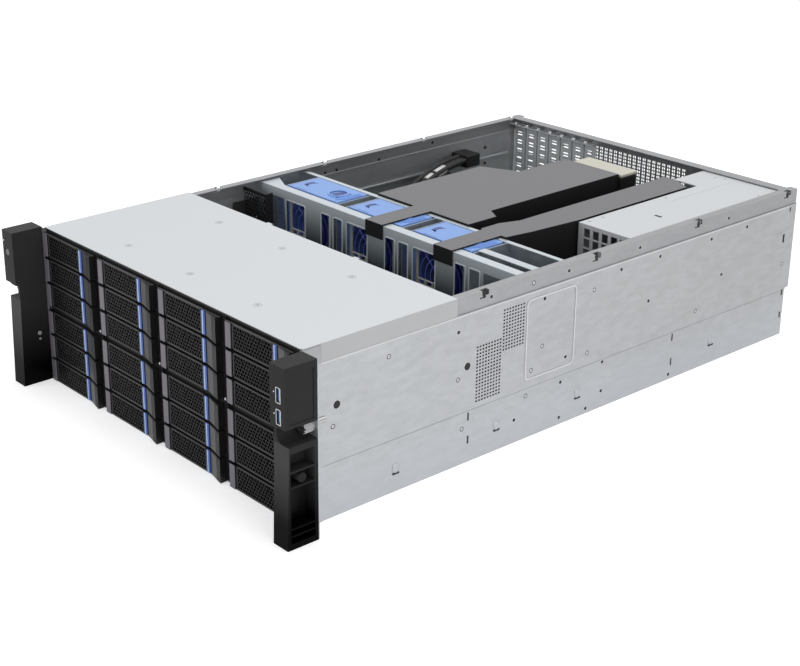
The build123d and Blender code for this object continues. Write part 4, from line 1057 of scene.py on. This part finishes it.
# %% Inside of the left wall
INNER = BODY_HALF - 0.002
RIDGES = ((192, 280, 0.1262, 0.1292, 0.0016, 0.0008, 2), (352, 696, 0.1262, 0.1292, 0.0016, 0.0008, 2),
          (352, 696, 0.1565, 0.1580, 0.0010, 0.0004, 1))
INNER_HOLES = ((655, 141), (655, 120), (384, 160), (402, 160), (470, 160), (560, 165))
INNER_HOLE_R, INNER_HOLE_HALF = 0.0019, 0.0002
ridge, inner_marks = bmesh.new(), bmesh.new()
for start, end, z0, z1, proud, edge, segments in RIDGES:
    block(ridge, (-INNER, deep(start), z0), (-INNER + proud, deep(end), z1), edge, segments)
for y, z in INNER_HOLES:
    rod(inner_marks, (-INNER - INNER_HOLE_HALF, deep(y), z * MM), (-INNER + INNER_HOLE_HALF, deep(y), z * MM),
        INNER_HOLE_R, 14)
piece("left_wall_ridge", ridge, RIM_AND_HIGHLIGHT, "chassis")
piece("left_wall_holes", inner_marks, SHADOW, "chassis")
print("ridges", len(RIDGES), "holes", len(INNER_HOLES))


# %% [markdown]
# Seven ladder brackets close the card slots. The frame's brackets have coarse windows, and thin rungs and a
# raised border make the fine ladder of the real ones. A screw holds each bracket's foot.

# %% Slot brackets
SLOT_COUNT, SLOT_PITCH, SLOT_FIRST = 7, 0.02032, -0.206
RUNGS, RUNG_FIRST, RUNG_PITCH, RUNG_HALF, RUNG_HEIGHT = 26, 0.0620, 0.0039, 0.0072, 0.0023
BORDER_Z = 0.1115
BORDER_SHAPE = (0.0158, 0.1000, 0.0040, 0.0009, 0.0006)
RUNG_FRONT, RUNG_BACK, BORDER_Y = deep(708.85), deep(709.1), deep(708.9)
SLOT_SCREW_Y, SLOT_SCREW_LOW, SLOT_SCREW_TOP, SLOT_SCREW_SHIFT = deep(704.5), 0.1658, 0.1682, 0.004
SLOT_SCREW_R, SLOT_SCREW_TIP = 0.0031, 0.0027
rungs, slot_screws = bmesh.new(), bmesh.new()
for k in range(SLOT_COUNT):
    x = SLOT_FIRST + k * SLOT_PITCH
    screw_x = x - SLOT_SCREW_SHIFT
    rod(slot_screws, (screw_x, SLOT_SCREW_Y, SLOT_SCREW_LOW), (screw_x, SLOT_SCREW_Y, SLOT_SCREW_TOP),
        SLOT_SCREW_R, 16, SLOT_SCREW_TIP)
    for rung in range(RUNGS):
        z = RUNG_FIRST + rung * RUNG_PITCH
        block(rungs, (x - RUNG_HALF, RUNG_FRONT, z), (x + RUNG_HALF, RUNG_BACK, z + RUNG_HEIGHT))
    round_frame(rungs, facing_front(x, BORDER_Y, BORDER_Z), *BORDER_SHAPE)
piece("slot_screws", slot_screws, RIM_AND_HIGHLIGHT, "chassis")
piece("slot_rungs", rungs, BRACKET_PLATE_AND_LIGHT, "chassis")
print("brackets", SLOT_COUNT, "rungs", SLOT_COUNT * RUNGS)


# %% [markdown]
# The rear wall beside the brackets is perforated with small squares. The frame has tall slots there, so
# level bars across them and an upright bar in each leave the squares.

# %% Rear vent bars
VENT_LEFT, VENT_LOW, VENT_HIGH, VENT_ROWS = -0.0840, 0.104, 0.164, 14
VENT_SLOTS, VENT_PITCH, VENT_WIDTH = 20, 0.0076, 0.0046
LEVEL_HALF, UPRIGHT_HALF = 0.0007, 0.0005
LEVEL_FRONT, LEVEL_BACK = deep(710.2), deep(710.8)
UPRIGHT_FRONT, UPRIGHT_BACK = deep(710.25), deep(710.75)
rear_bars = bmesh.new()
for row in range(VENT_ROWS + 1):
    z = VENT_LOW + row * (VENT_HIGH - VENT_LOW) / VENT_ROWS
    block(rear_bars, (VENT_LEFT, LEVEL_FRONT, z - LEVEL_HALF),
          (VENT_LEFT + VENT_SLOTS * VENT_PITCH, LEVEL_BACK, z + LEVEL_HALF))
for k in range(VENT_SLOTS):
    x = VENT_LEFT + k * VENT_PITCH + VENT_WIDTH / 2
    block(rear_bars, (x - UPRIGHT_HALF, UPRIGHT_FRONT, VENT_LOW), (x + UPRIGHT_HALF, UPRIGHT_BACK, VENT_HIGH))
piece("rear_vent_bars", rear_bars, WALL_ZINC, "chassis")
print("rear vent squares", VENT_ROWS * VENT_SLOTS * 2)


# %% [markdown]
# The right ear carries two sockets with a bright rim and a blue tongue, and beside each a pin-sized lamp.
# The left ear has a lamp of its own, and two screws and two caps on its inner face.

# %% Ear details
TONGUE = grained("socket tongue", (0.22, 0.42, 0.82), 0.35, scale=1200)
LAMP = grained("status lamp", (0.95, 0.95, 0.95), 0.3, spread=0.02)
ear_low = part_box("ear_right")[0]
EAR_FRONT, EAR_INNER = ear_low.y, ear_low.x
SOCKET_HEIGHTS = (0.1281, 0.1486)
TONGUE_LEFT, TONGUE_RIGHT, TONGUE_HALF, TONGUE_IN, TONGUE_DEEP = 0.2320, 0.2342, 0.0054, 0.0008, 0.0150
SOCKET_RIM_X, SOCKET_RIM = 0.2326, (0.0068, 0.0148, 0.0012, 0.0007, 0.0003)
SIDE_LAMP_X, SIDE_LAMP_RISE, SIDE_LAMP_R = 0.2266, 0.002, 0.0007
LAMP_IN, LAMP_OUT = EAR_FRONT + 0.0004, EAR_FRONT - 0.0002
EAR_LAMP_X, EAR_LAMP_Z, EAR_LAMP_R = -0.2390, 0.1640, 0.0010
INNER_SCREWS = ((-12.9, 56.9, 2.6), (-12.9, 50.5, 1.6))
INNER_CAPS = ((-13.3, 166.7, 2.9), (-9.4, 8.6, 3.2))
SCREW_TAPER = 0.8
FACE_IN, FACE_OUT = -EAR_INNER - 0.0004, -EAR_INNER + 0.0008
tongues, rims, lamps, inner_screws, inner_caps = [bmesh.new() for _ in range(5)]
for z in SOCKET_HEIGHTS:
    block(tongues, (TONGUE_LEFT, EAR_FRONT + TONGUE_IN, z - TONGUE_HALF),
          (TONGUE_RIGHT, EAR_FRONT + TONGUE_DEEP, z + TONGUE_HALF), 0.0003)
    round_frame(rims, facing_front(SOCKET_RIM_X, EAR_FRONT, z), *SOCKET_RIM)
    lamp_z = z + SIDE_LAMP_RISE
    rod(lamps, (SIDE_LAMP_X, LAMP_IN, lamp_z), (SIDE_LAMP_X, LAMP_OUT, lamp_z), SIDE_LAMP_R, 12)
rod(lamps, (EAR_LAMP_X, LAMP_IN, EAR_LAMP_Z), (EAR_LAMP_X, LAMP_OUT, EAR_LAMP_Z), EAR_LAMP_R, 12)
for shape, places in ((inner_screws, INNER_SCREWS), (inner_caps, INNER_CAPS)):
    for y, z, radius in places:
        rod(shape, (FACE_IN, deep(y), z * MM), (FACE_OUT, deep(y), z * MM), radius * MM, 18,
            radius * MM * SCREW_TAPER)
piece("usb_tongues", tongues, TONGUE, "chassis")
piece("usb_rims", rims, RIM_AND_HIGHLIGHT, "chassis")
piece("status_lamps", lamps, LAMP, "chassis")
piece("ear_inner_screws", inner_screws, RIM_AND_HIGHLIGHT, "chassis")
piece("ear_inner_caps", inner_caps, EAR, "chassis")
print("sockets", len(SOCKET_HEIGHTS))


# %% [markdown]
# The rack screws are turned by hand, so their heads are knurled. Fine rods round the rim of the head are
# simpler than a cut pattern, and they turn with the screw because they ride on its body.

# %% Knurled screw heads
KNURLS, KNOB_R, KNURL_R = 28, 0.0060, 0.00042
KNURL_START, KNURL_END = 0.0008, 0.0105
for label in ("left", "right"):
    node = f"thumbscrew_{label}"
    low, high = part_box(node)
    knurl = bmesh.new()
    for k in range(KNURLS):
        angle = math.tau * k / KNURLS
        x = (low.x + high.x) / 2 + math.cos(angle) * KNOB_R
        z = (low.z + high.z) / 2 + math.sin(angle) * KNOB_R
        rod(knurl, (x, low.y + KNURL_START, z), (x, low.y + KNURL_END, z), KNURL_R, 6)
    piece(f"knurl_{label}", knurl, NICKEL, frame["nodes"][node]["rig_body"])
print("knurls", KNURLS)


# %% [markdown]
# Two sleeved cables run from their plugs on the left wall towards the fan cage and stop about two
# centimetres behind it. A cord is best kept as a curve: one NURBS spline led by the points of the frame's
# own route, with a round bevel. Two thinner strands lie along each cable, and white heat-shrink labels
# wrap it.

# %% Cable curves
LABEL = grained("heat shrink label", (0.80, 0.80, 0.79), 0.45, spread=0.03)
WALL_IN = 0.2169
CABLE_R, STRAND_R = 0.005, 0.0026
STRAND_SHIFTS = ((-0.0035, -0.004, 0.0060), (0.0070, -0.003, 0.0030))
CABLE_ROUTES = (((18.9, 596, 138), (50.9, 478, 146), (112.9, 368, 96)),
                ((12.9, 560, 116), (34.9, 458, 130), (56.9, 372, 96)))


def spline_curve(name, points):
    """A smooth NURBS curve with the route's points as control points."""
    curve = bpy.data.curves.new(name, "CURVE")
    curve.dimensions = "3D"
    curve.resolution_u = 16
    spline = curve.splines.new("NURBS")
    spline.points.add(len(points) - 1)
    for point, place in zip(spline.points, points):
        point.co = (*place, 1)
    spline.order_u = 3
    spline.use_endpoint_u = True
    made = bpy.data.objects.new(name, curve)
    bpy.context.scene.collection.objects.link(made)
    return made


def sleeve(cord, radius, fineness):
    """Gives a curve its thickness, finish and body."""
    cord.data.bevel_depth = radius
    cord.data.bevel_resolution = fineness
    cord.data.use_fill_caps = True
    cord.data.materials.append(SLEEVE.material)
    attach(cord, "chassis")


print("cable routes", len(CABLE_ROUTES))


# %% [markdown]
# Each cable's length is measured on the thin curve before it gets its thickness. The labels are short rods
# between two points of that curve, and the plug is a block against the wall. The first cable stands for
# the frame's own cable solid.

# %% Cables, labels and plugs
LABEL_SPANS = ((0.20, 0.28), (0.33, 0.345), (0.60, 0.625))
LABEL_SWELL = 1.12
PLUG_HALF, PLUG_BEYOND, PLUG_LENGTH = 0.008, 0.009, 0.023
PLUG_WALL_GAP, PLUG_BACK = 0.0003, 0.001
for number, route in enumerate(CABLE_ROUTES, 1):
    points = [Vector((x * MM - WALL_IN, deep(y), z * MM)) for x, y, z in route]
    for strand, shift in enumerate(STRAND_SHIFTS, 1):
        moved = [point + Vector(shift) for point in points]
        thin = spline_curve(f"cable_{number}_strand_{strand}", moved)
        sleeve(thin, STRAND_R, 4)
    cable = spline_curve(f"drive_cable_{number}", points)
    path = [v.co.copy() for v in bpy.data.meshes.new_from_object(cable).vertices]
    sleeve(cable, CABLE_R, 5)
    wraps, plug, head = bmesh.new(), bmesh.new(), points[0]
    for start, end in LABEL_SPANS:
        rod(wraps, path[int(len(path) * start)], path[int(len(path) * end) + 1], CABLE_R * LABEL_SWELL, 20)
    piece(f"cable_label_{number}", wraps, LABEL, "chassis", smooth=True)
    block(plug, (-WALL_IN + PLUG_WALL_GAP, head.y - PLUG_BACK, head.z - PLUG_HALF),
          (head.x + PLUG_BEYOND, head.y + PLUG_LENGTH, head.z + PLUG_HALF), 0.0012, 2)
    piece(f"cable_plug_{number}", plug, CAGE, "chassis")
    if number == 1:
        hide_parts("drive_cables")
print("cables", len(CABLE_ROUTES))


# %% [markdown]
# The server stands on a pale floor in a white room, as in a product photograph. A room bright enough to look
# white would flood the case with light, so the world is white only to the camera and to reflections, and
# plainer for the light that falls on the case. The floor glows a little the same way and keeps the shadow.

# %% Room and floor
AMBIENT = 0.45
FLOOR_SIZE = 12.0
FLOOR_GLOW = (0.45, 0.45, 0.45)
world = bpy.data.worlds.new("studio")
bpy.context.scene.world = world
world.use_nodes = True
room = Nodes(world.node_tree)
sky = world.node_tree.nodes["Background"]
room.give(sky.inputs["Color"], (1, 1, 1))
room.give(sky.inputs["Strength"], room.seen() * (1 - AMBIENT) + AMBIENT)
floor_mesh = bpy.data.meshes.new("floor")
sheet = bmesh.new()
bmesh.ops.create_grid(sheet, x_segments=1, y_segments=1, size=FLOOR_SIZE / 2)
sheet.to_mesh(floor_mesh)
sheet.free()
floor = bpy.data.objects.new("floor", floor_mesh)
bpy.context.scene.collection.objects.link(floor)
floor_finish = Finish("floor", (0.9, 0.9, 0.9), 0.9)
floor_finish.feed("Emission Color", floor_finish.mix(floor_finish.seen(), (0, 0, 0), FLOOR_GLOW))
floor_finish.feed("Emission Strength", 1.0)
floor_mesh.materials.append(floor_finish.material)
print("floor", FLOOR_SIZE, "m")


# %% [markdown]
# Three large soft lamps light the case: one above, one at the right side wall and one at the front. Large
# lamps close by give soft shadow edges, and their power is set so that the pale lid keeps its tone.

# %% Lamps
LAMPS = (("top lamp", (0.2, 0.2, 2.4), (0, 0, 0), (2.2, 2.2), 27),
         ("right lamp", (2.2, -0.6, 1.0), (0, 0, 0.1), (1.4, 1.4), 10),
         ("front lamp", (-0.9, -2.2, 1.1), (0, -0.3, 0.1), (1.6, 1.2), 9))
for name, place, target, size, watts in LAMPS:
    lamp = bpy.data.objects.new(name, bpy.data.lights.new(name, "AREA"))
    lamp.data.shape = "RECTANGLE"
    lamp.data.size, lamp.data.size_y = size
    lamp.data.energy = watts
    lamp.location = place
    lamp.rotation_euler = (Vector(target) - Vector(place)).to_track_quat("-Z", "Y").to_euler()
    bpy.context.scene.collection.objects.link(lamp)
print("lamps", len(LAMPS))
